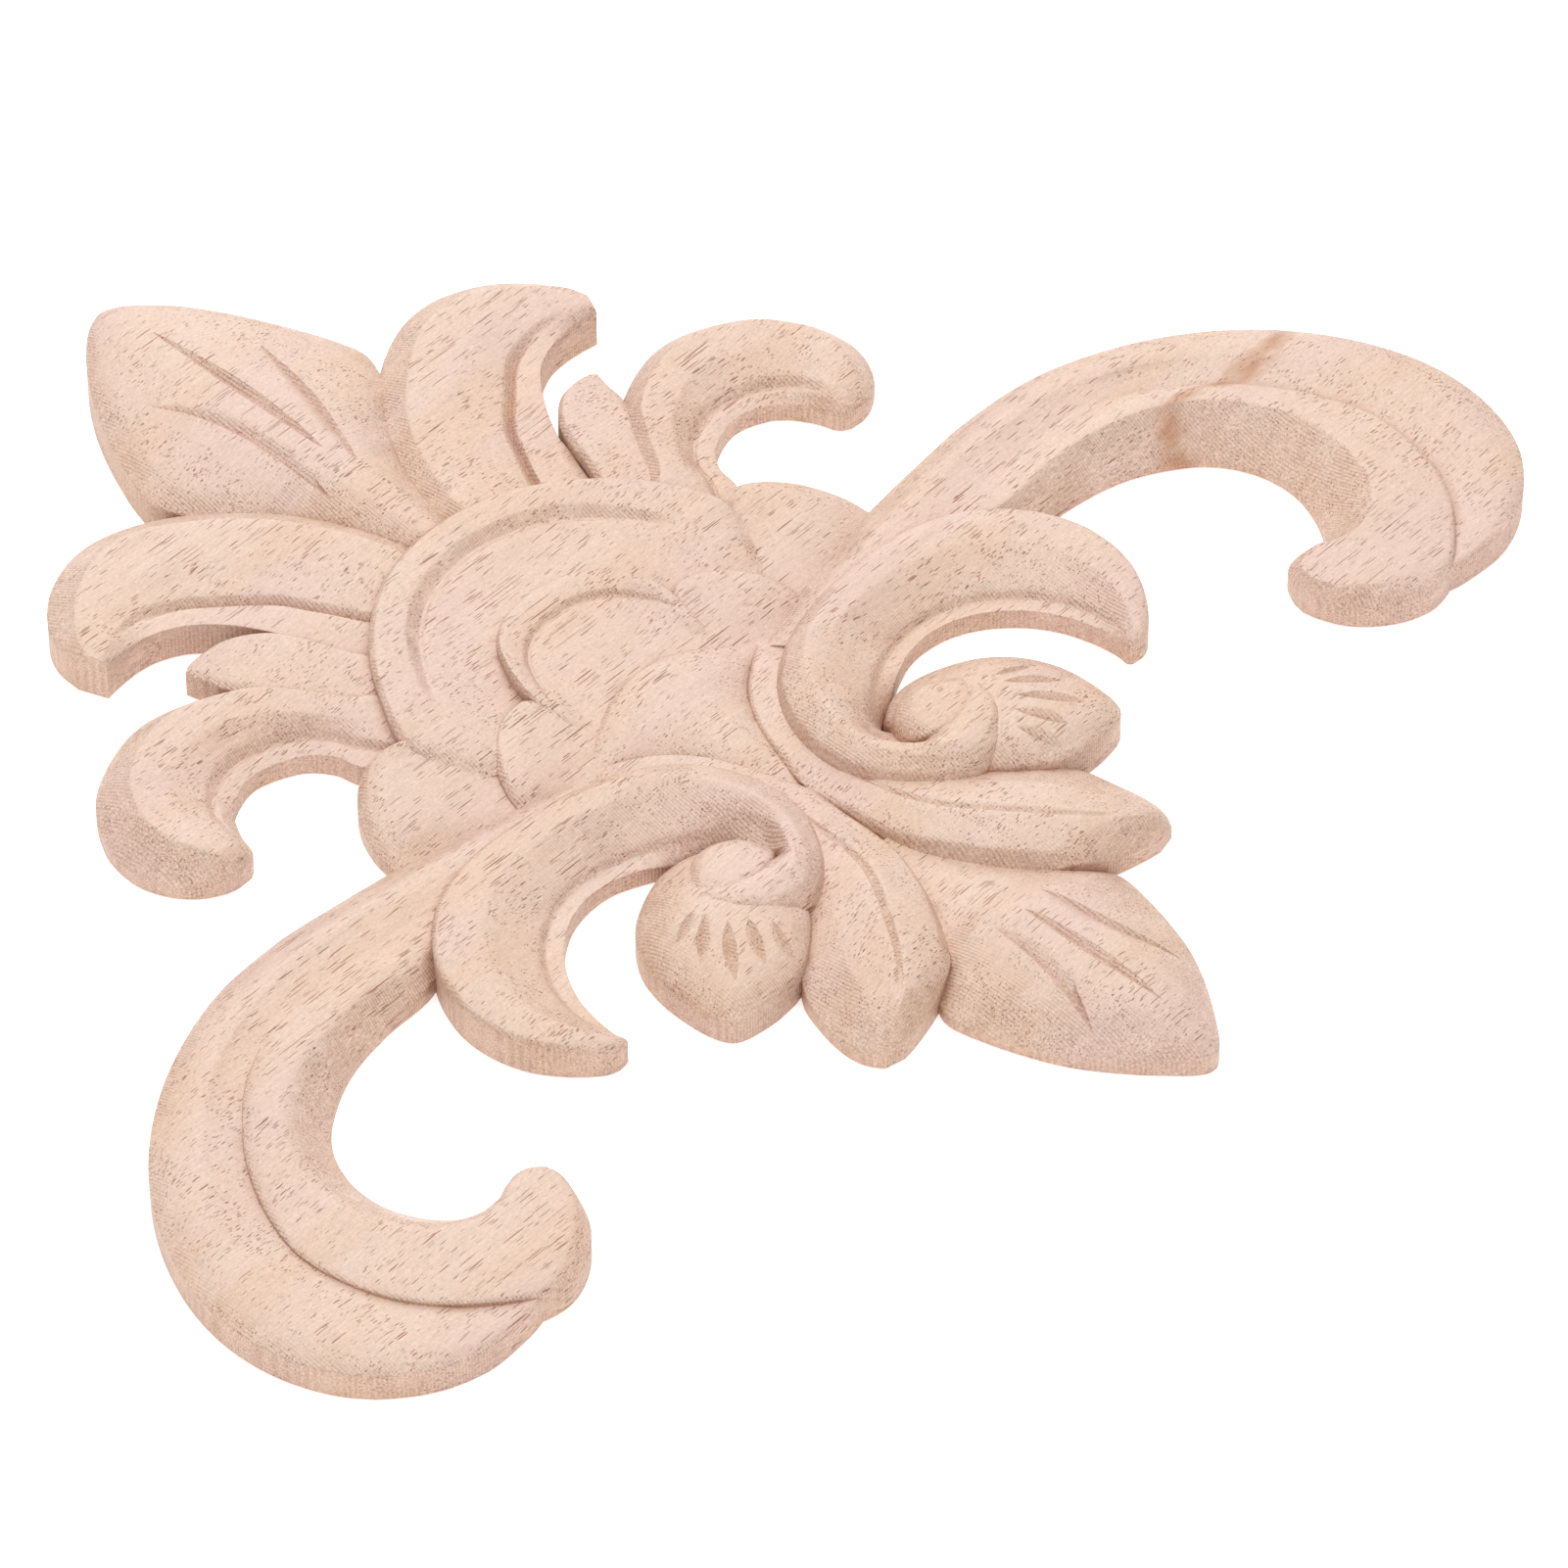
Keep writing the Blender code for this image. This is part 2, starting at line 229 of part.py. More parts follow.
SCROLL_LARGE = [
    ((16.0, -6.8), (18.5, -12.0), [(0, 1.8), (1.2, 2.6), (2.2, 3.2)],
     [(2.0, 3.6), (1.6, 3.6), (1.2, 3.6), (0.8, 3.6), (0, 3.6)]),
    ((26.2, -3.5), (27.2, -10.9), [(0, 1.4), (2.0, 3.0), (3.6, 3.9)],
     [(2.4, 4.3), (2.0, 4.3), (1.6, 4.3), (1.0, 4.3), (0, 4.2)]),
    ((36.3, -1.3), (37.3, -10.4), [(0, 1.4), (2.6, 3.4), (4.6, 4.6)],
     [(2.8, 4.8), (2.3, 4.8), (1.8, 4.8), (1.0, 4.8), (0, 4.6)]),
    ((45.9, -0.1), (47.4, -13.4), [(0, 1.9), (2.6, 3.9), (5.0, 5.2)],
     [(4.4, 4.9), (3.6, 4.7), (2.8, 4.8), (1.4, 4.6), (0, 4.2)]),
    ((56.5, 0.5), (57.5, -18.1), [(0, 2.9), (2.4, 4.6), (5.2, 5.7)],
     [(7.4, 4.9), (6.4, 4.6), (5.0, 4.9), (2.4, 4.0), (0, 2.6)]),
    ((66.6, 0.7), (66.1, -18.6), [(0, 3.8), (2.2, 5.2), (5.4, 6.2)],
     [(9.0, 5.2), (7.9, 4.7), (5.6, 5.5), (2.6, 3.8), (0, 1.8)]),
    ((78.7, -0.5), (74.4, -20.3), [(0, 4.2), (2.2, 5.5), (5.6, 6.4)],
     [(10.6, 5.5), (9.4, 4.8), (7.0, 6.0), (3.2, 3.8), (0, 1.3)]),
    ((90.8, -4.9), (81.3, -23.9), [(0, 4.4), (2.2, 5.7), (5.8, 6.5)],
     [(12.0, 5.8), (10.6, 4.9), (8.2, 6.3), (3.8, 3.9), (0, 1.0)]),
    ((100.9, -11.3), (85.5, -27.9), [(0, 4.4), (2.2, 5.7), (5.8, 6.5)],
     [(12.4, 5.9), (11.2, 5.0), (8.4, 6.4), (4.0, 3.9), (0, 1.0)]),
    ((108.9, -19.5), (87.7, -32.5), [(0, 4.4), (2.2, 5.6), (5.8, 6.4)],
     [(13.6, 5.9), (12.6, 5.0), (8.6, 6.4), (4.2, 3.9), (0, 1.0)]),
    ((114.6, -29.6), (88.3, -36.7), [(0, 4.4), (2.2, 5.6), (5.6, 6.3)],
     [(15.4, 5.8), (14.6, 4.9), (8.8, 6.4), (4.4, 3.9), (0, 1.0)]),
    ((117.1, -39.7), (87.8, -40.5), [(0, 4.4), (2.2, 5.5), (5.4, 6.1)],
     [(17.6, 5.6), (16.8, 4.8), (8.8, 6.3), (4.4, 3.9), (0, 1.0)]),
    ((116.4, -49.2), (86.3, -44.2), [(0, 4.3), (2.2, 5.4), (5.0, 5.9)],
     [(18.6, 5.5), (17.8, 4.7), (8.8, 6.3), (4.4, 3.9), (0, 1.1)]),
    ((112.6, -57.9), (84.6, -47.0), [(0, 4.3), (2.1, 5.2), (4.6, 5.7)],
     [(18.4, 5.4), (17.6, 4.6), (8.4, 6.3), (4.2, 4.0), (0, 1.4)]),
    ((105.9, -64.2), (82.9, -49.0), [(0, 4.2), (1.8, 5.0), (3.8, 5.4)],
     [(18.3, 5.4), (17.6, 4.6), (7.0, 6.3), (3.4, 4.4), (0, 1.9)]),
    ((98.4, -67.1), (81.6, -50.1), [(0, 4.2), (1.1, 4.8), (2.3, 5.0)],
     [(18.0, 5.4), (17.3, 4.6), (5.4, 6.3), (2.6, 4.9), (0, 2.5)]),
    ((90.8, -67.1), (80.3, -50.7), [(0, 4.3), (0.4, 4.5), (0.8, 4.6)],
     [(17.2, 5.3), (16.6, 4.9), (4.2, 6.2), (2.0, 5.2), (0, 3.0)]),
    ((87.2, -66.4), (79.3, -51.0), [(0, 4.4), (0.4, 4.9), (0.8, 5.1)],
     [(15.2, 5.3), (14.4, 5.5), (3.6, 6.2), (1.6, 5.4), (0, 3.4)]),
    ((83.3, -66.9), (78.3, -51.0), [(0, 4.2), (0.7, 5.0), (1.6, 5.4)],
     [(12.4, 5.8), (11.0, 6.0), (3.2, 6.2), (1.4, 5.6), (0, 3.9)]),
    ((79.3, -65.8), (77.1, -50.7), [(0, 4.0), (0.9, 5.0), (2.0, 5.5)],
     [(10.4, 5.9), (8.8, 6.1), (3.0, 6.2), (1.4, 5.8), (0, 4.5)]),
    ((75.5, -62.8), (75.6, -50.3), [(0, 3.9), (0.9, 4.9), (2.0, 5.5)],
     [(8.0, 5.9), (6.8, 6.1), (2.6, 6.2), (1.2, 6.0), (0, 5.2)]),
    ((73.0, -59.3), (73.9, -50.5), [(0, 4.2), (0.8, 5.2), (1.8, 5.7)],
     [(4.6, 6.0), (3.8, 6.1), (2.0, 6.1), (1.0, 6.0), (0, 5.3)]),
    ((71.8, -55.9), (72.5, -51.8), [(0, 4.6), (0.5, 5.3), (1.0, 5.5)],
     [(1.9, 5.7), (1.6, 5.7), (1.0, 5.7), (0.5, 5.6), (0, 5.1)]),
]
BERRY_OUTLINE = [
    (18.5, -30.0, 4.0), (20.4, -27.4, 2.6), (24.2, -26.5, 2.0), (29.2, -28.4, 2.6), (33.7, -31.3, 3.0),
    (37.1, -35.6, 3.4), (38.7, -40.6, 4.0), (39.0, -45.4, 4.2), (38.6, -49.6, 4.3), (37.2, -52.2, 4.5),
    (33.8, -53.2, 4.8), (29.4, -53.4, 4.9), (25.0, -52.6, 5.0), (20.8, -49.9, 5.1), (17.4, -46.6, 5.0),
    (15.6, -42.0, 4.6), (16.2, -36.0, 4.4),
]
BERRY_CENTRE = (25.0, -40.5)
BERRY_RINGS = [(0.0, 0.0), (0.12, 0.46), (0.32, 0.76), (0.62, 0.94), (1.0, 1.0)]
BERRY_CROWN = 8.5

# V cuts: plan path from end to end, width and depth at the middle of the cut.
CUTS = [
    ([(0.0, 93.5), (0.0, 80.0), (0.0, 66.0), (0.0, 52.0)], 2.0, 1.3, False),
    ([(9.6, 82.0), (7.0, 72.0), (5.2, 62.0), (4.0, 54.0)], 1.8, 1.2, True),
    ([(0.0, -92.0), (0.0, -80.0), (0.0, -68.0)], 1.8, 1.1, False),
    ([(8.6, -87.0), (5.6, -77.0), (4.4, -66.0)], 1.8, 1.1, True),
    ([(25.0, -44.6), (26.6, -49.6)], 1.6, 0.8, True),
    ([(28.0, -42.6), (31.2, -47.6)], 1.6, 0.9, True),
    ([(31.0, -40.0), (35.2, -44.4)], 1.6, 0.8, True),
]


def clear_scene():
    for item in list(bpy.data.objects):
        bpy.data.objects.remove(item, do_unlink=True)


def flatten(section):
    outer, inner, from_outer, from_inner = section
    values = [outer[0], outer[1], inner[0], inner[1]]
    for pair in from_outer + from_inner:
        values.extend(pair)
    return values


def curve_through(rows, steps):
    """Smooth curve through rows of numbers, with steps spans between neighbouring rows."""
    knots = [0.0]
    for a, b in zip(rows, rows[1:]):
        knots.append(knots[-1] + (max(abs(b[0] - a[0]) + abs(b[1] - a[1]), 1.0)) ** 0.5)
    last = len(rows) - 1
    result = []
    for i in range(last):
        span = knots[i + 1] - knots[i]
        before = rows[i - 1] if i > 0 else rows[i]
        after = rows[i + 2] if i + 2 <= last else rows[i + 1]
        before_knot = knots[i - 1] if i > 0 else knots[i]
        after_knot = knots[i + 2] if i + 2 <= last else knots[i + 1]
        for k in range(steps):
            u = k / steps
            row = []
            for p0, p1, p2, p3 in zip(before, rows[i], rows[i + 1], after):
                slope_1 = (p2 - p0) / (knots[i + 1] - before_knot)
                slope_2 = (p3 - p1) / (after_knot - knots[i])
                row.append((2 * u ** 3 - 3 * u ** 2 + 1) * p1 + (u ** 3 - 2 * u ** 2 + u) * span * slope_1
                           + (3 * u ** 2 - 2 * u ** 3) * p2 + (u ** 3 - u ** 2) * span * slope_2)
            result.append(row)
    result.append(list(rows[last]))
    return result


def finish_mesh(name, bm):
    bmesh.ops.triangulate(bm, faces=bm.faces[:])
    bmesh.ops.recalc_face_normals(bm, faces=bm.faces[:])
    mesh = bpy.data.meshes.new(name)
    bm.to_mesh(mesh)
    bm.free()
    item = bpy.data.objects.new(name, mesh)
    bpy.context.scene.collection.objects.link(item)
    return item


def body_from_rows(name, rows, side):
    """Closed body from rows of plan points with heights, taken down below the back."""
    bm = bmesh.new()
    grid = [[bm.verts.new((side * x * MM, y * MM, z * MM)) for x, y, z in row] for row in rows]
    floor = -BACK_ALLOWANCE * MM
    low = [[bm.verts.new((row[i].co.x, row[i].co.y, floor)) for i in (0, -1)] for row in grid]
    for a, b in zip(range(len(grid)), range(1, len(grid))):
        for j in range(len(grid[a]) - 1):
            bm.faces.new((grid[a][j], grid[a][j + 1], grid[b][j + 1], grid[b][j]))
        bm.faces.new((grid[a][0], grid[b][0], low[b][0], low[a][0]))
        bm.faces.new((grid[b][-1], grid[a][-1], low[a][1], low[b][1]))
        bm.faces.new((low[a][0], low[b][0], low[b][1], low[a][1]))
    bm.faces.new(grid[0][::-1] + [low[0][0], low[0][1]])
    bm.faces.new(grid[-1] + [low[-1][1], low[-1][0]])
    return finish_mesh(name, bm)


def loft(name, sections, side=1, steps=STEPS):
    count_outer = len(sections[0][2])
    rows = []
    for values in curve_through([flatten(s) for s in sections], steps):
        outer = Vector(values[0:2])
        inner = Vector(values[2:4])
        width = (inner - outer).length
        pairs = list(zip(values[4::2], values[5::2]))
        row = []
        for index, (distance, height) in enumerate(pairs):
            share = distance / width if index < count_outer else 1 - distance / width
            place = outer.lerp(inner, share)
            row.append((place.x, place.y, height))
        rows.append(row)
    return body_from_rows(name, rows, side)


def mirrored(half):
    left = [((-o[0], o[1]), (-i[0], i[1]), a, b) for o, i, a, b in half[:0:-1]]
    return left + half


def symmetric_leaf(name, half, edge_share, steps=STEPS):
    """Leaf or shield on the middle line from rows of (y, half width, edge, shoulder and crest heights)."""
    rows = []
    for y, half_width, edge, shoulder, crest in curve_through(half, steps):
        middle = shoulder + (crest - shoulder) * LEAF_MIDDLE_RISE
        shares = [(1.0, edge), (1.0 - edge_share, shoulder), (LEAF_MIDDLE_AT, middle), (LEAF_CREST_AT, crest)]
        right = [(half_width * share, y, height) for share, height in shares]
        left = [(-x, y2, z) for x, y2, z in right]
        rows.append(left + right[::-1])
    return body_from_rows(name, rows, 1)


def berry(name, side):
    outline = curve_through(BERRY_OUTLINE + BERRY_OUTLINE[:1], 1)[:-1]
    bm = bmesh.new()
    rings = []
    for inward, rise in BERRY_RINGS[:-1]:
        ring = []
        for x, y, edge in outline:
            px = x + (BERRY_CENTRE[0] - x) * inward
            py = y + (BERRY_CENTRE[1] - y) * inward
            ring.append(bm.verts.new((side * px * MM, py * MM, (edge + (BERRY_CROWN - edge) * rise) * MM)))
        rings.append(ring)
    crown = bm.verts.new((side * BERRY_CENTRE[0] * MM, BERRY_CENTRE[1] * MM, BERRY_CROWN * MM))
    low = [bm.verts.new((v.co.x, v.co.y, -BACK_ALLOWANCE * MM)) for v in rings[0]]
    count = len(outline)
    for i in range(count):
        j = (i + 1) % count
        for a, b in zip(rings, rings[1:]):
            bm.faces.new((a[i], a[j], b[j], b[i]))
        bm.faces.new((rings[-1][i], rings[-1][j], crown))
        bm.faces.new((low[i], low[j], rings[0][j], rings[0][i]))
    bm.faces.new(low[::-1])
    return finish_mesh(name, bm)


def combine(target, tool, operation):
    modifier = target.modifiers.new("join", "BOOLEAN")
    modifier.operation = operation
    modifier.solver = "MANIFOLD"
    modifier.object = tool
    bpy.context.view_layer.update()
    graph = bpy.context.evaluated_depsgraph_get()
    mesh = bpy.data.meshes.new_from_object(target.evaluated_get(graph))
    target.modifiers.clear()
    target.data = mesh
    bpy.data.objects.remove(tool, do_unlink=True)


def wedge(name, path, width, depth, side, surface):
    """V shaped cutter that follows the carved surface and runs out at both ends."""
    rows = curve_through([list(p) for p in path], 1)
    bm = bmesh.new()
    rings = []
    last = len(rows) - 1
    for index, (x, y) in enumerate(rows):
        before = Vector(rows[max(index - 1, 0)])
        after = Vector(rows[min(index + 1, last)])
        along = (after - before).normalized()
        across = Vector((-along.y, along.x))
        swell = max(1.0 - abs(2 * index / last - 1) ** 3, CUT_END_DEPTH)
        probe = Vector((side * x * MM, y * MM, PROBE_HEIGHT))
        height = surface.ray_cast(probe, Vector((0, 0, -1)))[0].z / MM
        reach = width * (CUT_END_WIDTH + (1 - CUT_END_WIDTH) * swell)
        lift = depth * swell
        corners = [(x + across.x * reach, y + across.y * reach, height + lift),
                   (x - across.x * reach, y - across.y * reach, height + lift),
                   (x, y, height - lift)]
        rings.append([bm.verts.new((side * cx * MM, cy * MM, cz * MM)) for cx, cy, cz in corners])
    for a, b in zip(rings, rings[1:]):
        for k in range(3):
            m = (k + 1) % 3
            bm.faces.new((a[k], a[m], b[m], b[k]))
    bm.faces.new(rings[0][::-1])
    bm.faces.new(rings[-1])
    return finish_mesh(name, bm)


def back_block():
    bpy.ops.mesh.primitive_cube_add(size=1.0)
    block = bpy.context.active_object
    block.name = "back_block"
    block.scale = BLOCK_SIZE
    block.location = (0.0, 0.0, -BLOCK_SIZE[2] / 2)
    bpy.ops.object.transform_apply(location=True, rotation=False, scale=True)
    return block


def wood_material():
    material = bpy.data.materials.new("carved_wood")
    material.use_nodes = True
    shader = material.node_tree.nodes["Principled BSDF"]
    shader.inputs["Base Color"].default_value = WOOD_COLOUR
    shader.inputs["Roughness"].default_value = WOOD_ROUGHNESS
    shader.inputs["Metallic"].default_value = 0.0
    return material


clear_scene()
applique = symmetric_leaf("applique", TOP_LEAF_HALF, 0.14, 1)
forms = [
    symmetric_leaf("bottom_leaf", BOTTOM_LEAF_HALF, 0.2, 1),
    loft("shell", mirrored(SHELL_HALF), 1, 1),
    loft("scallop", mirrored(SCALLOP_HALF), 1, 1),
    symmetric_leaf("shield", SHIELD_HALF, 0.12, 1),
]
for side in (1, -1):
    forms.append(loft("curl_upper", CURL_UPPER, side))
    forms.append(loft("curl_lower", CURL_LOWER, side))
    forms.append(loft("small_leaf", SMALL_LEAF, side, 1))
    forms.append(loft("shell_side", SHELL_SIDE, side, 1))
    forms.append(loft("scallop_side", SCALLOP_SIDE, side, 1))
    forms.append(loft("side_leaf", SIDE_LEAF, side, 1))
    forms.append(loft("scroll_large", SCROLL_LARGE, side))
    forms.append(loft("scroll_small", SCROLL_SMALL, side, 1))
    forms.append(berry("berry", side))
for form in forms:
    combine(applique, form, "UNION")
combine(applique, back_block(), "DIFFERENCE")

bm = bmesh.new()
bm.from_mesh(applique.data)
surface = BVHTree.FromBMesh(bm)
bm.free()
for path, width, depth, both_sides in CUTS:
    for side in (1, -1) if both_sides else (1,):
        combine(applique, wedge("cut", path, width, depth, side, surface), "DIFFERENCE")

bm = bmesh.new()
bm.from_mesh(applique.data)
bmesh.ops.remove_doubles(bm, verts=bm.verts[:], dist=JOIN_DISTANCE)
bmesh.ops.dissolve_degenerate(bm, edges=bm.edges[:], dist=JOIN_DISTANCE)
loose = [edge for edge in bm.edges if not edge.link_faces]
bmesh.ops.delete(bm, geom=loose, context="EDGES")
bmesh.ops.triangulate(bm, faces=bm.faces[:])
bm.to_mesh(applique.data)
bm.free()
applique.data.materials.clear()
applique.data.materials.append(wood_material())
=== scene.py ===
import math

import bpy
import bmesh
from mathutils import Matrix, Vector
from mathutils.bvhtree import BVHTree


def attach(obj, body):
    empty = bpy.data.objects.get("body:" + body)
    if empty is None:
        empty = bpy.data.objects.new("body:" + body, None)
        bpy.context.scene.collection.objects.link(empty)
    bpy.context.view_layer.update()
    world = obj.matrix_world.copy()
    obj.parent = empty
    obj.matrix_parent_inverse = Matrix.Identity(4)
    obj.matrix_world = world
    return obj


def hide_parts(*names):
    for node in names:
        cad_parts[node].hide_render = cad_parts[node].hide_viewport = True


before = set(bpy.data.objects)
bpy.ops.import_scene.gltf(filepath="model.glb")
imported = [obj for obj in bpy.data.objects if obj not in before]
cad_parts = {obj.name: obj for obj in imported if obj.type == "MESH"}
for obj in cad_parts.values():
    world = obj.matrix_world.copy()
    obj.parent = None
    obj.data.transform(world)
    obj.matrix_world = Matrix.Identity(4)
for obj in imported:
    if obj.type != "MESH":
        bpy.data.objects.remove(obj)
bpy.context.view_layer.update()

# The upper leaf. It is the tall end of the carving, a pointed leaf with a domed face that was cut
# from the same board as all the rest. Every form is lofted through plan sections in millimetres.
MM = 0.001
BELOW_BACK = 2.0
ROW_STEP = 1.1
SHORTEST_SPAN = 1.0
EDGE_ROUND = 0.28
CREASE_ROUND = 0.36
SOFT_ROUND = 1.6
LONGEST_FACET = 1.6
CREASE_SHARE = 0.46
CORNER_PARTS = 2
NO_LENGTH = 1e-6
WELD_DISTANCE = 2e-7
LEAF_MIDDLE_AT = 0.45
LEAF_MIDDLE_RISE = 0.72
LEAF_CREST_AT = 0.16
TOP_LEAF_EDGE = 0.14
FORMS = []
TOP_LEAF_HALF = [
    (37.0, 3.5, 5.0, 5.6, 6.8), (44.0, 5.5, 5.0, 6.0, 7.6), (50.0, 8.0, 4.8, 6.2, 8.4),
    (57.0, 12.5, 4.8, 6.2, 9.0), (63.0, 17.6, 4.8, 6.4, 9.3), (69.0, 20.3, 4.9, 6.6, 9.4),
    (74.0, 19.4, 5.1, 6.8, 9.4), (79.4, 17.3, 5.4, 7.0, 9.4), (84.1, 15.1, 5.7, 7.2, 9.3),
    (88.7, 12.5, 6.1, 7.5, 9.2), (93.2, 9.3, 6.5, 7.7, 8.9), (96.6, 6.2, 6.8, 7.6, 8.5),
    (98.8, 3.6, 7.0, 7.5, 8.0), (99.8, 1.6, 7.1, 7.4, 7.7), (100.0, 0.6, 7.3, 7.4, 7.5),
]


def curve_through(rows, step):
    """Smooth curve through rows of numbers, whose first two are a plan point, at about this spacing."""
    knots = [0.0]
    for a, b in zip(rows, rows[1:]):
        span = max(abs(b[0] - a[0]) + abs(b[1] - a[1]), SHORTEST_SPAN)
        knots.append(knots[-1] + math.sqrt(span))
    last = len(rows) - 1
    result = []
    for i in range(last):
        span = knots[i + 1] - knots[i]
        before = rows[i - 1] if i > 0 else rows[i]
        after = rows[i + 2] if i + 2 <= last else rows[i + 1]
        before_knot = knots[i - 1] if i > 0 else knots[i]
        after_knot = knots[i + 2] if i + 2 <= last else knots[i + 1]
        run = math.hypot(rows[i + 1][0] - rows[i][0], rows[i + 1][1] - rows[i][1])
        count = max(2, math.ceil(run / step))
        for k in range(count):
            u = k / count
            row = []
            for p0, p1, p2, p3 in zip(before, rows[i], rows[i + 1], after):
                slope_1 = (p2 - p0) / (knots[i + 1] - before_knot)
                slope_2 = (p3 - p1) / (after_knot - knots[i])
                row.append((2 * u ** 3 - 3 * u ** 2 + 1) * p1 + (u ** 3 - 2 * u ** 2 + u) * span * slope_1
                           + (3 * u ** 2 - 2 * u ** 3) * p2 + (u ** 3 - u ** 2) * span * slope_2)
            result.append(row)
    result.append(list(rows[last]))
    return result


def rounded(profile, crease=CREASE_ROUND):
    """The profile with its corners worn round, and the top edge of each wall eased."""
    first = profile[0] - Vector((0, 0, EDGE_ROUND))
    last = profile[-1] - Vector((0, 0, EDGE_ROUND))
    points = [first] + profile + [last]
    result = [first]
    for i in range(1, len(points) - 1):
        back = points[i - 1] - points[i]
        ahead = points[i + 1] - points[i]
        limit = EDGE_ROUND if i in (1, len(points) - 2) else crease
        start = points[i] + back * min(limit / max(back.length, NO_LENGTH), CREASE_SHARE)
        end = points[i] + ahead * min(limit / max(ahead.length, NO_LENGTH), CREASE_SHARE)
        for k in range(CORNER_PARTS + 1):
            t = k / CORNER_PARTS
            result.append(start * (1 - t) ** 2 + points[i] * 2 * t * (1 - t) + end * t ** 2)
    result.append(last)
    return result


def filled(rows):
    """The rows with points added along their long facets, as many in each row."""
    result = [[row[0]] for row in rows]
    for j in range(1, len(rows[0])):
        longest = max((row[j] - row[j - 1]).length for row in rows)
        parts = max(1, math.ceil(longest / LONGEST_FACET))
        for k in range(1, parts + 1):
            for given, row in zip(result, rows):
                given.append(row[j - 1].lerp(row[j], k / parts))
    return result


def link_mesh(name, bm):
    """Object in the scene from the faces, welded, in triangles and turned outwards."""
    bmesh.ops.remove_doubles(bm, verts=bm.verts[:], dist=WELD_DISTANCE)
    bmesh.ops.triangulate(bm, faces=bm.faces[:])
    bmesh.ops.recalc_face_normals(bm, faces=bm.faces[:])
    mesh = bpy.data.meshes.new(name)
    bm.to_mesh(mesh)
    bm.free()
    item = bpy.data.objects.new(name, mesh)
    bpy.context.scene.collection.objects.link(item)
    return item


def body_from_rows(name, rows, side):
    """Closed body under rows of points, with walls down to below the back."""
    bm = bmesh.new()
    grid = [[bm.verts.new((side * p.x * MM, p.y * MM, p.z * MM)) for p in row] for row in filled(rows)]
    low = [[bm.verts.new((row[i].co.x, row[i].co.y, -BELOW_BACK * MM)) for i in (0, -1)] for row in grid]
    for a in range(len(grid) - 1):
        b = a + 1
        for j in range(len(grid[a]) - 1):
            bm.faces.new((grid[a][j], grid[a][j + 1], grid[b][j + 1], grid[b][j]))
        bm.faces.new((grid[a][0], grid[b][0], low[b][0], low[a][0]))
        bm.faces.new((grid[b][-1], grid[a][-1], low[a][1], low[b][1]))
        bm.faces.new((low[a][0], low[b][0], low[b][1], low[a][1]))
    bm.faces.new(grid[0][::-1] + [low[0][0], low[0][1]])
    bm.faces.new(grid[-1] + [low[-1][1], low[-1][0]])
    return link_mesh(name, bm)


def leaf_on_middle(name, half, edge_share, crease=CREASE_ROUND):
    """Leaf on the middle line from rows of (y, half width, edge, shoulder and crest heights)."""
    rows = []
    for y, half_width, edge, shoulder, crest in curve_through(half, ROW_STEP):
        middle = shoulder + (crest - shoulder) * LEAF_MIDDLE_RISE
        shares = [(1.0, edge), (1.0 - edge_share, shoulder), (LEAF_MIDDLE_AT, middle), (LEAF_CREST_AT, crest)]
        left = [Vector((-half_width * share, y, height)) for share, height in shares]
        right = [Vector((-p.x, y, p.z)) for p in left]
        rows.append(rounded(left + right[::-1], crease))
    FORMS.append(body_from_rows(name, rows, 1))


leaf_on_middle("upper_leaf", TOP_LEAF_HALF, TOP_LEAF_EDGE, SOFT_ROUND)

# The lower leaf, at the other end of the same board. It is lower and flatter than the upper leaf, with
# thin edges and a ridge along its middle.
BOTTOM_LEAF_EDGE = 0.2
BOTTOM_LEAF_HALF = [
    (-44.0, 2.5, 2.5, 3.0, 3.4), (-52.0, 5.5, 2.5, 3.2, 3.6), (-60.0, 9.5, 2.2, 3.6, 4.8),
    (-66.0, 14.9, 1.6, 3.9, 6.6), (-70.0, 16.9, 1.5, 4.0, 7.4), (-75.7, 15.9, 1.6, 4.1, 7.6),
    (-80.8, 14.3, 1.8, 4.2, 7.6), (-85.4, 12.4, 2.0, 4.2, 7.4), (-89.6, 9.9, 2.2, 4.1, 6.9),
    (-93.3, 7.2, 2.4, 3.7, 5.9), (-96.3, 4.7, 2.5, 3.4, 4.7), (-98.6, 2.6, 2.6, 3.0, 3.6),
    (-99.7, 1.2, 2.4, 2.7, 3.0), (-100.0, 0.5, 2.4, 2.6, 2.8),
]

leaf_on_middle("lower_leaf", BOTTOM_LEAF_HALF, BOTTOM_LEAF_EDGE, SOFT_ROUND)

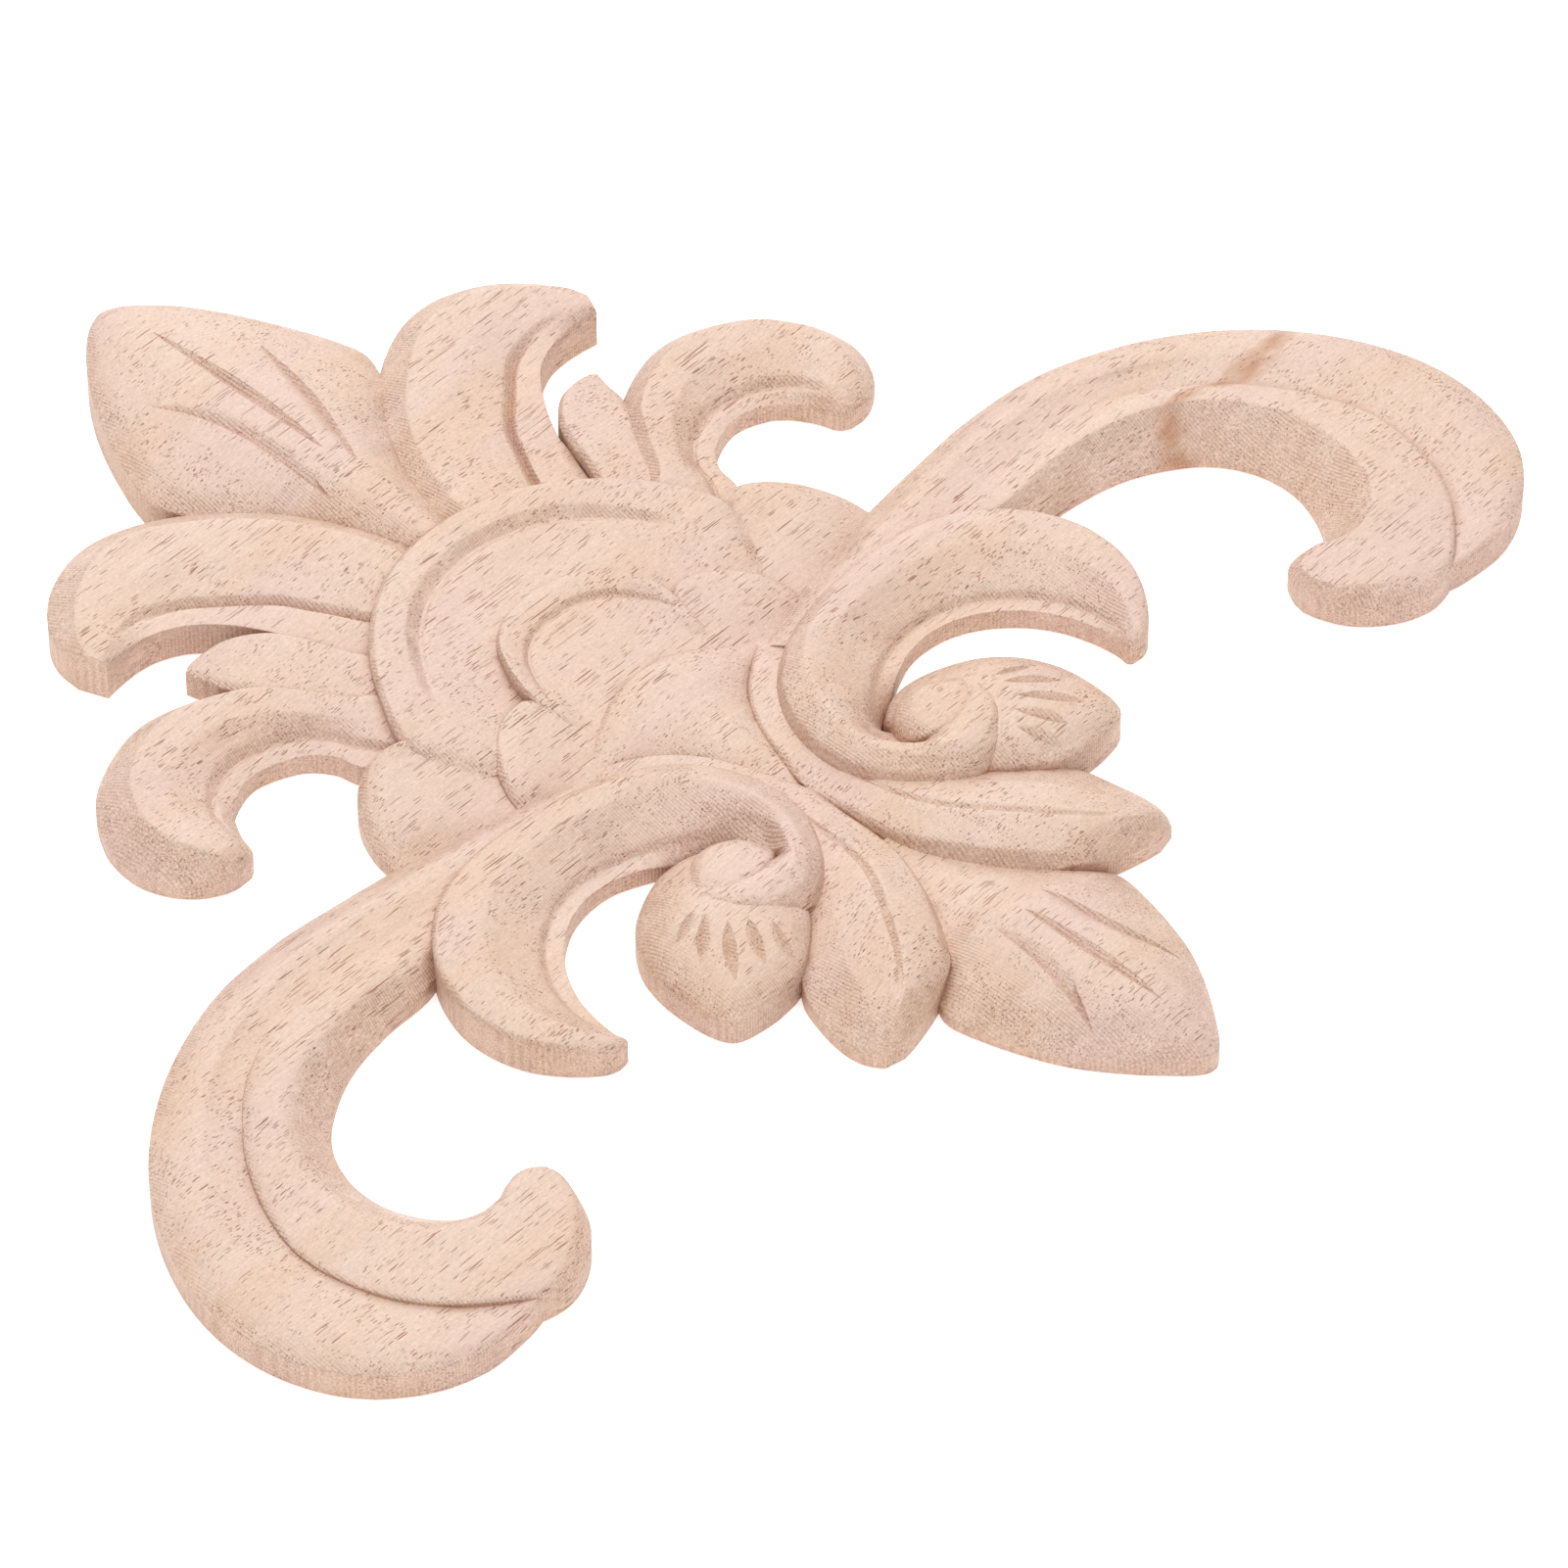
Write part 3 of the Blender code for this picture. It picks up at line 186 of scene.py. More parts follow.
# The curled leaves on both sides of the middle, two pairs, and the small leaf between them, in the same
# board. Each curled leaf has a bevelled outer side, a nearly flat top and a groove along its inner rim.
CURL_UPPER = [
    ((2.7, 35.5), (22.4, 27.5), [(0, 4.8), (1.7, 5.9), (3.4, 6.8), (8.0, 6.2)],
     [(8.6, 5.0), (7.6, 3.8), (7.0, 4.9), (0, 4.2)]),
    ((3.4, 42.0), (24.2, 32.5), [(0, 4.8), (1.9, 5.9), (3.7, 6.9), (8.0, 6.3)],
     [(8.0, 5.0), (7.0, 3.7), (6.4, 4.9), (0, 4.2)]),
    ((6.8, 51.0), (25.5, 35.8), [(0, 4.8), (2.0, 5.9), (4.0, 6.9), (9.0, 6.4)],
     [(7.7, 5.1), (6.7, 3.8), (6.1, 5.0), (0, 4.4)]),
    ((11.3, 58.2), (26.5, 39.4), [(0, 4.7), (2.1, 5.9), (4.2, 7.1), (10.0, 6.6)],
     [(7.1, 5.3), (6.1, 3.9), (5.4, 5.1), (0, 4.8)]),
    ((18.7, 65.2), (29.8, 44.8), [(0, 4.6), (2.2, 6.1), (4.4, 7.5), (11.0, 7.0)],
     [(5.7, 5.4), (4.7, 4.1), (4.0, 5.2), (0, 5.3)]),
    ((27.2, 69.7), (33.8, 49.2), [(0, 4.6), (2.1, 6.2), (4.2, 7.7), (11.0, 7.3)],
     [(5.0, 5.8), (4.0, 4.5), (3.3, 5.3), (0, 5.3)]),
    ((34.3, 70.4), (37.5, 51.2), [(0, 4.6), (2.5, 6.2), (5.0, 7.8), (10.5, 7.4)],
     [(4.0, 6.3), (3.1, 5.3), (2.4, 5.6), (0, 5.3)]),
    ((41.2, 67.8), (40.8, 51.8), [(0, 4.6), (2.6, 6.1), (5.2, 7.7), (9.0, 7.3)],
     [(3.2, 6.7), (2.4, 6.2), (1.7, 6.1), (0, 5.4)]),
    ((46.0, 63.4), (43.6, 51.7), [(0, 4.6), (2.3, 6.0), (4.6, 7.5), (7.4, 7.3)],
     [(2.6, 7.0), (1.9, 6.8), (1.2, 6.5), (0, 5.6)]),
    ((48.1, 59.5), (45.5, 51.5), [(0, 4.7), (1.6, 5.9), (3.2, 7.2), (5.0, 7.2)],
     [(2.2, 7.0), (1.6, 6.9), (1.0, 6.7), (0, 5.9)]),
    ((48.5, 55.4), (47.0, 51.2), [(0, 5.2), (0.7, 6.2), (1.4, 6.8), (2.1, 6.9)],
     [(1.6, 6.8), (1.2, 6.7), (0.8, 6.6), (0, 6.0)]),
]
CURL_LOWER = [
    ((22.4, 19.4), (30.8, 7.4), [(0, 3.6), (1.3, 4.4), (2.6, 4.9), (5.0, 4.6)],
     [(4.4, 4.0), (3.6, 3.4), (3.0, 3.4), (0, 3.2)]),
    ((25.7, 22.9), (33.8, 11.3), [(0, 4.5), (1.3, 5.4), (2.6, 6.3), (5.0, 5.6)],
     [(4.4, 4.6), (3.6, 3.6), (3.0, 3.9), (0, 3.6)]),
    ((28.4, 25.6), (36.3, 15.3), [(0, 4.5), (1.4, 5.4), (2.8, 6.4), (6.0, 5.7)],
     [(4.4, 4.6), (3.6, 3.6), (3.0, 3.9), (0, 3.6)]),
    ((31.5, 30.7), (37.2, 19.1), [(0, 4.3), (1.6, 5.4), (3.2, 6.6), (7.0, 5.8)],
     [(4.4, 4.5), (3.5, 3.4), (2.9, 3.8), (0, 3.5)]),
    ((37.5, 37.8), (40.1, 22.6), [(0, 3.2), (1.8, 5.0), (3.6, 6.7), (8.5, 6.0)],
     [(4.3, 4.4), (3.3, 3.2), (2.6, 3.6), (0, 3.2)]),
    ((49.9, 42.1), (46.0, 24.8), [(0, 3.0), (2.0, 4.9), (4.0, 6.8), (9.0, 6.1)],
     [(4.2, 4.3), (3.1, 3.0), (2.3, 3.4), (0, 2.9)]),
    ((61.5, 38.3), (51.0, 23.4), [(0, 2.6), (2.3, 4.7), (4.6, 6.8), (9.5, 6.1)],
     [(4.0, 4.5), (3.0, 3.2), (2.2, 3.6), (0, 2.9)]),
    ((67.4, 31.3), (53.5, 21.2), [(0, 2.2), (2.5, 4.5), (5.0, 6.7), (9.5, 6.1)],
     [(3.4, 4.9), (2.5, 3.8), (1.8, 4.0), (0, 2.9)]),
    ((68.9, 24.8), (54.9, 18.9), [(0, 2.0), (2.6, 4.3), (5.2, 6.6), (9.0, 6.1)],
     [(2.8, 5.3), (2.0, 4.6), (1.3, 4.5), (0, 2.9)]),
    ((67.8, 20.0), (55.6, 17.3), [(0, 2.0), (2.5, 4.2), (5.0, 6.2), (8.0, 5.9)],
     [(2.4, 5.4), (1.7, 5.0), (1.0, 4.6), (0, 2.9)]),
    ((65.2, 16.3), (56.0, 15.7), [(0, 2.0), (1.8, 3.7), (3.6, 5.3), (5.6, 5.3)],
     [(2.2, 5.0), (1.5, 4.7), (0.9, 4.3), (0, 2.8)]),
    ((61.9, 14.2), (56.7, 14.6), [(0, 2.2), (0.9, 3.4), (1.8, 4.1), (2.6, 4.3)],
     [(1.8, 4.2), (1.3, 4.0), (0.8, 3.6), (0, 2.7)]),
    ((60.1, 13.8), (57.9, 13.9), [(0, 2.2), (0.3, 2.8), (0.6, 3.1), (0.9, 3.2)],
     [(0.8, 3.2), (0.6, 3.1), (0.3, 2.9), (0, 2.5)]),
]
SMALL_LEAF = [
    ((21.7, 26.4), (27.7, 19.9), [(0, 5.6), (0.8, 6.3)], [(1.0, 5.3), (0, 4.6)]),
    ((24.2, 31.9), (31.8, 27.4), [(0, 5.7), (0.8, 6.5)], [(1.0, 5.2), (0, 4.6)]),
    ((25.6, 36.1), (35.8, 33.5), [(0, 5.6), (0.8, 6.4)], [(1.0, 5.0), (0, 4.4)]),
    ((27.8, 40.2), (38.2, 38.1), [(0, 5.4), (0.8, 6.2)], [(1.0, 4.6), (0, 4.0)]),
    ((31.8, 43.6), (38.8, 41.1), [(0, 5.0), (0.8, 5.6)], [(1.0, 4.4), (0, 3.9)]),
    ((35.8, 44.7), (39.4, 43.2), [(0, 4.4), (0.6, 4.8)], [(0.6, 4.2), (0, 3.8)]),
    ((38.2, 44.9), (39.6, 44.1), [(0, 3.8), (0.4, 4.1)], [(0.4, 4.0), (0, 3.8)]),
]


def flatten(section):
    """The section's numbers in one row, so that the sections can be blended."""
    outer, inner, from_outer, from_inner = section
    values = [outer[0], outer[1], inner[0], inner[1]]
    for pair in from_outer + from_inner:
        values.extend(pair)
    return values


def loft(name, sections, side=1, crease=CREASE_ROUND):
    """Body through sections, each an outer and an inner plan point, with (distance, height) from each."""
    count_outer = len(sections[0][2])
    rows = []
    for values in curve_through([flatten(s) for s in sections], ROW_STEP):
        outer = Vector(values[0:2])
        inner = Vector(values[2:4])
        width = (inner - outer).length
        profile = []
        for index, (distance, height) in enumerate(zip(values[4::2], values[5::2])):
            share = distance / width if index < count_outer else 1 - distance / width
            place = outer.lerp(inner, share)
            profile.append(Vector((place.x, place.y, height)))
        rows.append(rounded(profile, crease))
    FORMS.append(body_from_rows(name, rows, side))


for side in (1, -1):
    loft("curl_upper", CURL_UPPER, side)
    loft("curl_lower", CURL_LOWER, side)
    loft("small_leaf", SMALL_LEAF, side)

# The shell in the middle, carved in the same board. It has a flat rim with a V groove inside it, a lobe
# on each side, and a smaller scallop of the same kind raised on it.
SHELL_HALF = [
    ((0.0, 37.3), (0.0, 6.0), [(0, 6.9), (0.8, 7.7), (4.6, 7.3), (6.6, 5.9), (7.4, 6.3)],
     [(6.0, 4.4), (0, 3.4)]),
    ((10.0, 35.6), (4.0, 6.0), [(0, 6.9), (0.8, 7.7), (4.8, 7.3), (6.8, 5.9), (7.6, 6.3)],
     [(6.0, 4.4), (0, 3.4)]),
    ((18.0, 31.0), (8.0, 5.0), [(0, 7.0), (0.8, 7.8), (5.0, 7.3), (7.0, 5.9), (7.8, 6.2)],
     [(6.0, 4.3), (0, 3.2)]),
    ((24.5, 24.6), (10.0, 3.0), [(0, 7.0), (0.8, 7.8), (5.8, 7.0), (7.4, 6.0), (8.2, 6.2)],
     [(6.0, 4.1), (0, 3.0)]),
    ((29.0, 17.6), (11.0, 1.0), [(0, 6.6), (0.8, 7.4), (5.8, 6.7), (7.4, 6.4), (8.2, 6.3)],
     [(6.0, 3.9), (0, 2.8)]),
    ((31.3, 12.6), (12.0, -1.0), [(0, 5.6), (1.0, 6.6), (5.8, 6.2), (7.4, 6.1), (8.2, 6.0)],
     [(6.0, 3.7), (0, 2.6)]),
    ((32.0, 8.5), (13.0, -3.0), [(0, 2.0), (2.0, 4.6), (6.0, 5.3), (7.2, 5.2), (8.0, 5.1)],
     [(6.0, 3.3), (0, 2.2)]),
    ((31.0, 4.0), (14.0, -5.0), [(0, 1.6), (2.0, 3.0), (5.6, 3.6), (6.6, 3.6), (7.4, 3.6)],
     [(6.0, 2.6), (0, 1.8)]),
]
SHELL_SIDE = [
    ((29.6, 12.3), (16.0, 4.0), [(0, 3.4), (1.0, 4.4), (3.0, 4.4), (7.0, 4.0)], [(5.0, 3.6), (0, 3.0)]),
    ((31.9, 13.2), (17.0, 2.0), [(0, 5.3), (0.9, 6.3), (3.0, 6.1), (7.5, 5.3)], [(5.0, 4.2), (0, 3.4)]),
    ((35.6, 14.2), (18.0, 0.0), [(0, 4.5), (1.0, 5.6), (3.0, 5.9), (8.0, 5.2)], [(5.0, 3.8), (0, 3.0)]),
    ((39.5, 12.5), (19.0, -2.0), [(0, 3.6), (1.2, 4.9), (3.6, 5.5), (8.5, 4.9)], [(5.0, 3.3), (0, 2.6)]),
    ((43.0, 8.8), (20.0, -4.0), [(0, 2.8), (1.3, 4.2), (4.0, 4.9), (9.0, 4.3)], [(5.0, 2.7), (0, 2.2)]),
    ((45.2, 4.1), (21.2, -5.8), [(0, 2.2), (1.2, 3.1), (4.0, 3.7), (9.0, 3.3)], [(5.0, 2.2), (0, 1.9)]),
    ((45.9, -0.2), (22.2, -7.4), [(0, 1.6), (1.2, 1.9), (4.0, 2.0), (9.0, 1.9)], [(5.0, 1.7), (0, 1.6)]),
    ((45.9, -2.8), (23.2, -8.9), [(0, 1.4), (1.2, 1.5), (4.0, 1.5), (9.0, 1.5)], [(5.0, 1.4), (0, 1.4)]),
]
SCALLOP_HALF = [
    ((0.0, 19.8), (0.0, -3.0), [(0, 5.6), (0.5, 6.4), (4.2, 5.8), (4.9, 4.9), (5.6, 5.2)],
     [(8.0, 4.5), (0, 3.7)]),
    ((5.4, 19.0), (2.0, -3.5), [(0, 5.6), (0.5, 6.4), (4.2, 5.8), (4.9, 4.9), (5.6, 5.2)],
     [(8.0, 4.5), (0, 3.7)]),
    ((9.4, 16.3), (4.0, -4.0), [(0, 5.7), (0.5, 6.5), (4.0, 5.9), (4.7, 5.0), (5.4, 5.3)],
     [(8.0, 4.4), (0, 3.6)]),
    ((12.0, 12.2), (5.5, -5.0), [(0, 5.8), (0.5, 6.7), (3.8, 5.9), (4.4, 5.2), (5.0, 5.4)],
     [(7.0, 4.3), (0, 3.4)]),
    ((13.4, 8.0), (7.0, -6.0), [(0, 5.6), (0.5, 6.4), (3.2, 5.8), (3.8, 5.4), (4.4, 5.4)],
     [(7.0, 4.2), (0, 3.2)]),
    ((13.9, 4.5), (8.0, -7.0), [(0, 4.6), (0.5, 5.2), (2.6, 5.1), (3.0, 5.0), (3.6, 5.0)],
     [(6.0, 3.9), (0, 3.0)]),
    ((14.0, 1.0), (9.0, -8.0), [(0, 3.4), (0.5, 3.9), (1.6, 4.0), (2.0, 4.0), (2.6, 4.0)],
     [(5.0, 3.4), (0, 2.6)]),
]
SCALLOP_SIDE = [
    ((11.5, 5.6), (7.0, -5.0), [(0, 3.4), (0.6, 3.9), (2.0, 3.9)], [(5.0, 3.4), (0, 2.8)]),
    ((15.0, 7.0), (8.5, -6.0), [(0, 4.9), (0.6, 5.8), (2.0, 5.6)], [(5.5, 4.0), (0, 3.0)]),
    ((18.4, 6.8), (10.0, -7.0), [(0, 4.7), (0.6, 5.6), (2.5, 5.5)], [(6.0, 3.9), (0, 2.8)]),
    ((21.8, 5.0), (11.5, -8.0), [(0, 4.4), (0.7, 5.3), (3.0, 5.2)], [(6.0, 3.6), (0, 2.4)]),
    ((24.9, 1.7), (13.0, -9.0), [(0, 3.9), (0.8, 4.8), (3.4, 4.7)], [(6.0, 3.1), (0, 2.1)]),
    ((26.8, -2.3), (15.0, -9.6), [(0, 3.0), (0.8, 3.7), (3.4, 3.6)], [(5.0, 2.5), (0, 1.9)]),
    ((27.4, -5.6), (17.0, -10.0), [(0, 1.9), (0.8, 2.2), (3.0, 2.2)], [(4.0, 2.0), (0, 1.7)]),
]


def mirrored(half):
    """The sections of both halves, from those of one half whose first lies on the middle line."""
    left = [((-o[0], o[1]), (-i[0], i[1]), a, b) for o, i, a, b in half[:0:-1]]
    return left + half


loft("shell", mirrored(SHELL_HALF))
loft("scallop", mirrored(SCALLOP_HALF))
for side in (1, -1):
    loft("shell_side", SHELL_SIDE, side)
    loft("scallop_side", SCALLOP_SIDE, side)

# The pointed shield below the scallop and, on each side of it, the ribbon that starts beside the scroll
# and widens into a leaf. They are low relief in the same board, with a narrow channel between them.
SHIELD_EDGE = 0.12
SHIELD_HALF = [
    (-0.4, 1.5, 4.4, 4.7, 4.9), (-1.0, 6.0, 4.0, 4.6, 5.3), (-2.8, 10.4, 3.4, 4.2, 5.5),
    (-5.2, 14.6, 2.7, 3.5, 5.5), (-7.2, 16.6, 2.3, 2.9, 5.4), (-9.4, 13.0, 2.5, 3.2, 5.3),
    (-12.3, 9.2, 2.7, 3.4, 5.1), (-16.3, 6.0, 2.8, 3.5, 4.7), (-20.3, 4.0, 2.8, 3.4, 4.2),
    (-25.0, 2.4, 2.8, 3.2, 3.5), (-30.0, 1.0, 2.7, 2.8, 2.9),
]
SIDE_LEAF = [
    ((17.6, -5.4), (20.8, -11.4), [(0, 1.9), (0.4, 2.1), (1.0, 2.2)],
     [(1.6, 2.4), (1.2, 2.4), (0.8, 2.5), (0.4, 2.6), (0, 2.7)]),
    ((12.3, -9.3), (15.8, -13.8), [(0, 3.3), (0.4, 3.9), (1.0, 4.0)],
     [(2.0, 4.3), (1.5, 4.3), (1, 4.4), (0.5, 4.5), (0, 4.6)]),
    ((8.3, -12.3), (12.0, -17.0), [(0, 3.5), (0.4, 4.1), (1.0, 4.2)],
     [(2.4, 4.5), (1.8, 4.5), (1.2, 4.6), (0.6, 4.7), (0, 4.8)]),
    ((5.1, -16.3), (9.0, -20.8), [(0, 3.5), (0.4, 4.1), (1.0, 4.2)],
     [(2.4, 4.5), (1.8, 4.6), (1.2, 4.6), (0.6, 4.7), (0, 4.8)]),
    ((3.0, -20.5), (7.2, -24.2), [(0, 3.4), (0.4, 4.1), (1.0, 4.2)],
     [(2.4, 4.5), (1.8, 4.6), (1.2, 4.6), (0.6, 4.7), (0, 4.8)]),
    ((1.3, -25.2), (6.5, -28.0), [(0, 3.2), (0.4, 3.9), (1.0, 4.1)],
     [(2.4, 4.6), (1.8, 4.6), (1.2, 4.7), (0.6, 4.8), (0, 4.8)]),
    ((-0.1, -31.0), (6.8, -32.2), [(0, 3.7), (0.4, 3.9), (1.4, 4.2)],
     [(2.6, 4.7), (2, 4.7), (1.4, 4.7), (0.7, 4.8), (0, 4.8)]),
    ((-0.1, -37.0), (9.5, -37.6), [(0, 3.2), (0.8, 4.3), (2.0, 4.6)],
     [(4.6, 5.4), (4, 4.9), (3.4, 5.3), (1.7, 5.1), (0, 4.8)]),
    ((-0.1, -42.5), (13.5, -42.0), [(0, 2.8), (1.0, 4.5), (2.6, 5.0)],
     [(8.0, 5.9), (7.4, 5.3), (6.8, 5.9), (3.4, 5.5), (0, 4.6)]),
    ((0.6, -47.5), (19.0, -46.5), [(0, 2.8), (1.2, 5.1), (3.4, 5.8)],
     [(12.2, 6.7), (11.5, 6), (10.8, 6.6), (5.4, 5.8), (0, 4.2)]),
    ((2.2, -52.0), (23.7, -50.7), [(0, 2.8), (1.4, 5.6), (4.0, 6.4)],
     [(14.6, 7.3), (13.8, 6.6), (13, 7.2), (6.5, 6.0), (0, 3.8)]),
    ((4.8, -57.2), (27.0, -54.5), [(0, 3.0), (1.5, 5.9), (4.5, 6.8)],
     [(14.8, 7.6), (14, 6.9), (13.2, 7.5), (6.6, 6.0), (0, 3)]),
    ((8.2, -62.2), (28.6, -58.7), [(0, 3.2), (1.6, 6.0), (5.0, 7.0)],
     [(13.0, 7.6), (12.3, 7), (11.6, 7.5), (5.8, 5.7), (0, 2.2)]),
    ((12.2, -66.1), (29.4, -62.3), [(0, 4.6), (1.3, 5.6), (4.6, 6.7)],
     [(10.4, 7.3), (9.8, 6.9), (9.2, 7.2), (4.6, 5.4), (0, 1.9)]),
    ((17.0, -68.0), (29.5, -65.1), [(0, 3.4), (1.3, 4.8), (3.8, 6.1)],
     [(7.4, 6.7), (7, 6.5), (6.4, 6.5), (3.2, 4.9), (0, 1.8)]),
    ((21.8, -69.3), (28.9, -67.4), [(0, 2.8), (1.0, 3.9), (2.4, 5.0)],
     [(3.8, 5.2), (3.4, 5.1), (3, 5), (1.5, 3.9), (0, 1.8)]),
    ((24.8, -69.8), (27.8, -69.1), [(0, 2.2), (0.4, 2.9), (0.9, 3.2)],
     [(1.6, 3.3), (1.2, 3.2), (0.8, 3), (0.4, 2.5), (0, 1.9)]),
]

leaf_on_middle("shield", SHIELD_HALF, SHIELD_EDGE, SOFT_ROUND)
for side in (1, -1):
    loft("side_leaf", SIDE_LEAF, side)

# The wings. An acanthus scroll turns round its eye beside the berry, and behind it the large C-scroll
# runs out to the side: a rounded outer strand, and a crisp inner strand that lies on it and makes
# the hooked end. The left wing's inner bevel was cut steeper and softer than the right one's.
LEFT_BEVEL = 0.76
STRAND_OUTER = [
    ((16.0, -6.8), (18.5, -12.0), [(0, 1.8), (1.2, 2.6), (2.2, 3.2)], [(2.0, 3.6), (1.0, 3.6), (0, 3.6)]),
    ((26.2, -3.5), (27.2, -10.9), [(0, 1.4), (2.0, 3.0), (3.6, 3.9)], [(2.4, 4.3), (1.0, 4.3), (0, 4.2)]),
    ((36.3, -1.3), (37.3, -10.4), [(0, 1.4), (2.6, 3.4), (4.6, 4.6)], [(2.8, 4.8), (1.0, 4.8), (0, 4.6)]),
    ((45.9, -0.1), (47.2, -11.8), [(0, 1.9), (2.6, 3.9), (5.0, 5.2)], [(4.0, 5.0), (2.0, 4.7), (0, 4.4)]),
    ((56.5, 0.5), (57.1, -10.5), [(0, 2.9), (2.4, 4.6), (5.2, 5.7)], [(4.4, 5.3), (2.0, 5.0), (0, 4.7)]),
    ((66.6, 0.7), (66.3, -10.2), [(0, 3.8), (2.2, 5.2), (5.4, 6.2)], [(4.2, 5.7), (2.0, 5.3), (0, 4.9)]),
    ((78.7, -0.5), (76.4, -11.4), [(0, 4.2), (2.2, 5.5), (5.4, 6.4)], [(4.4, 5.9), (2.0, 5.4), (0, 4.9)]),
    ((90.8, -4.9), (85.6, -15.3), [(0, 4.4), (2.2, 5.7), (5.6, 6.5)], [(4.8, 5.8), (2.0, 5.2), (0, 4.6)]),
    ((100.9, -11.3), (91.7, -21.2), [(0, 4.4), (2.2, 5.7), (5.8, 6.5)], [(5.4, 5.8), (2.0, 5.0), (0, 4.4)]),
    ((108.9, -19.5), (96.5, -27.1), [(0, 4.4), (2.2, 5.6), (5.8, 6.4)], [(5.8, 5.7), (2.0, 4.9), (0, 4.3)]),
    ((114.6, -29.6), (99.8, -33.6), [(0, 4.4), (2.2, 5.6), (5.6, 6.3)], [(6.2, 5.7), (2.0, 4.8), (0, 4.3)]),
    ((117.1, -39.7), (101.5, -40.1), [(0, 4.4), (2.2, 5.5), (5.4, 6.1)], [(6.4, 5.6), (2.0, 4.8), (0, 4.3)]),
    ((116.4, -49.2), (100.9, -46.5), [(0, 4.3), (2.2, 5.4), (5.0, 5.9)], [(6.4, 5.4), (2.0, 4.8), (0, 4.3)]),
    ((112.6, -57.9), (98.9, -52.6), [(0, 4.3), (2.1, 5.2), (4.6, 5.7)], [(6.0, 5.3), (2.0, 4.7), (0, 4.3)]),
    ((105.9, -64.2), (95.7, -57.4), [(0, 4.2), (1.8, 5.0), (3.8, 5.4)], [(5.2, 5.1), (2.0, 4.7), (0, 4.3)]),
    ((98.4, -67.1), (92.2, -60.9), [(0, 4.2), (1.1, 4.8), (2.3, 5.0)], [(4.2, 4.9), (2.0, 4.5), (0, 4.2)]),
    ((90.8, -67.0), (88.8, -63.7), [(0, 4.3), (0.4, 4.5), (0.8, 4.6)], [(2.4, 4.6), (1.6, 4.5), (0, 4.2)]),
    ((87.0, -66.2), (86.0, -64.2), [(0, 4.2), (0.3, 4.4), (0.6, 4.5)], [(1.2, 4.5), (0.8, 4.4), (0, 4.2)]),
]
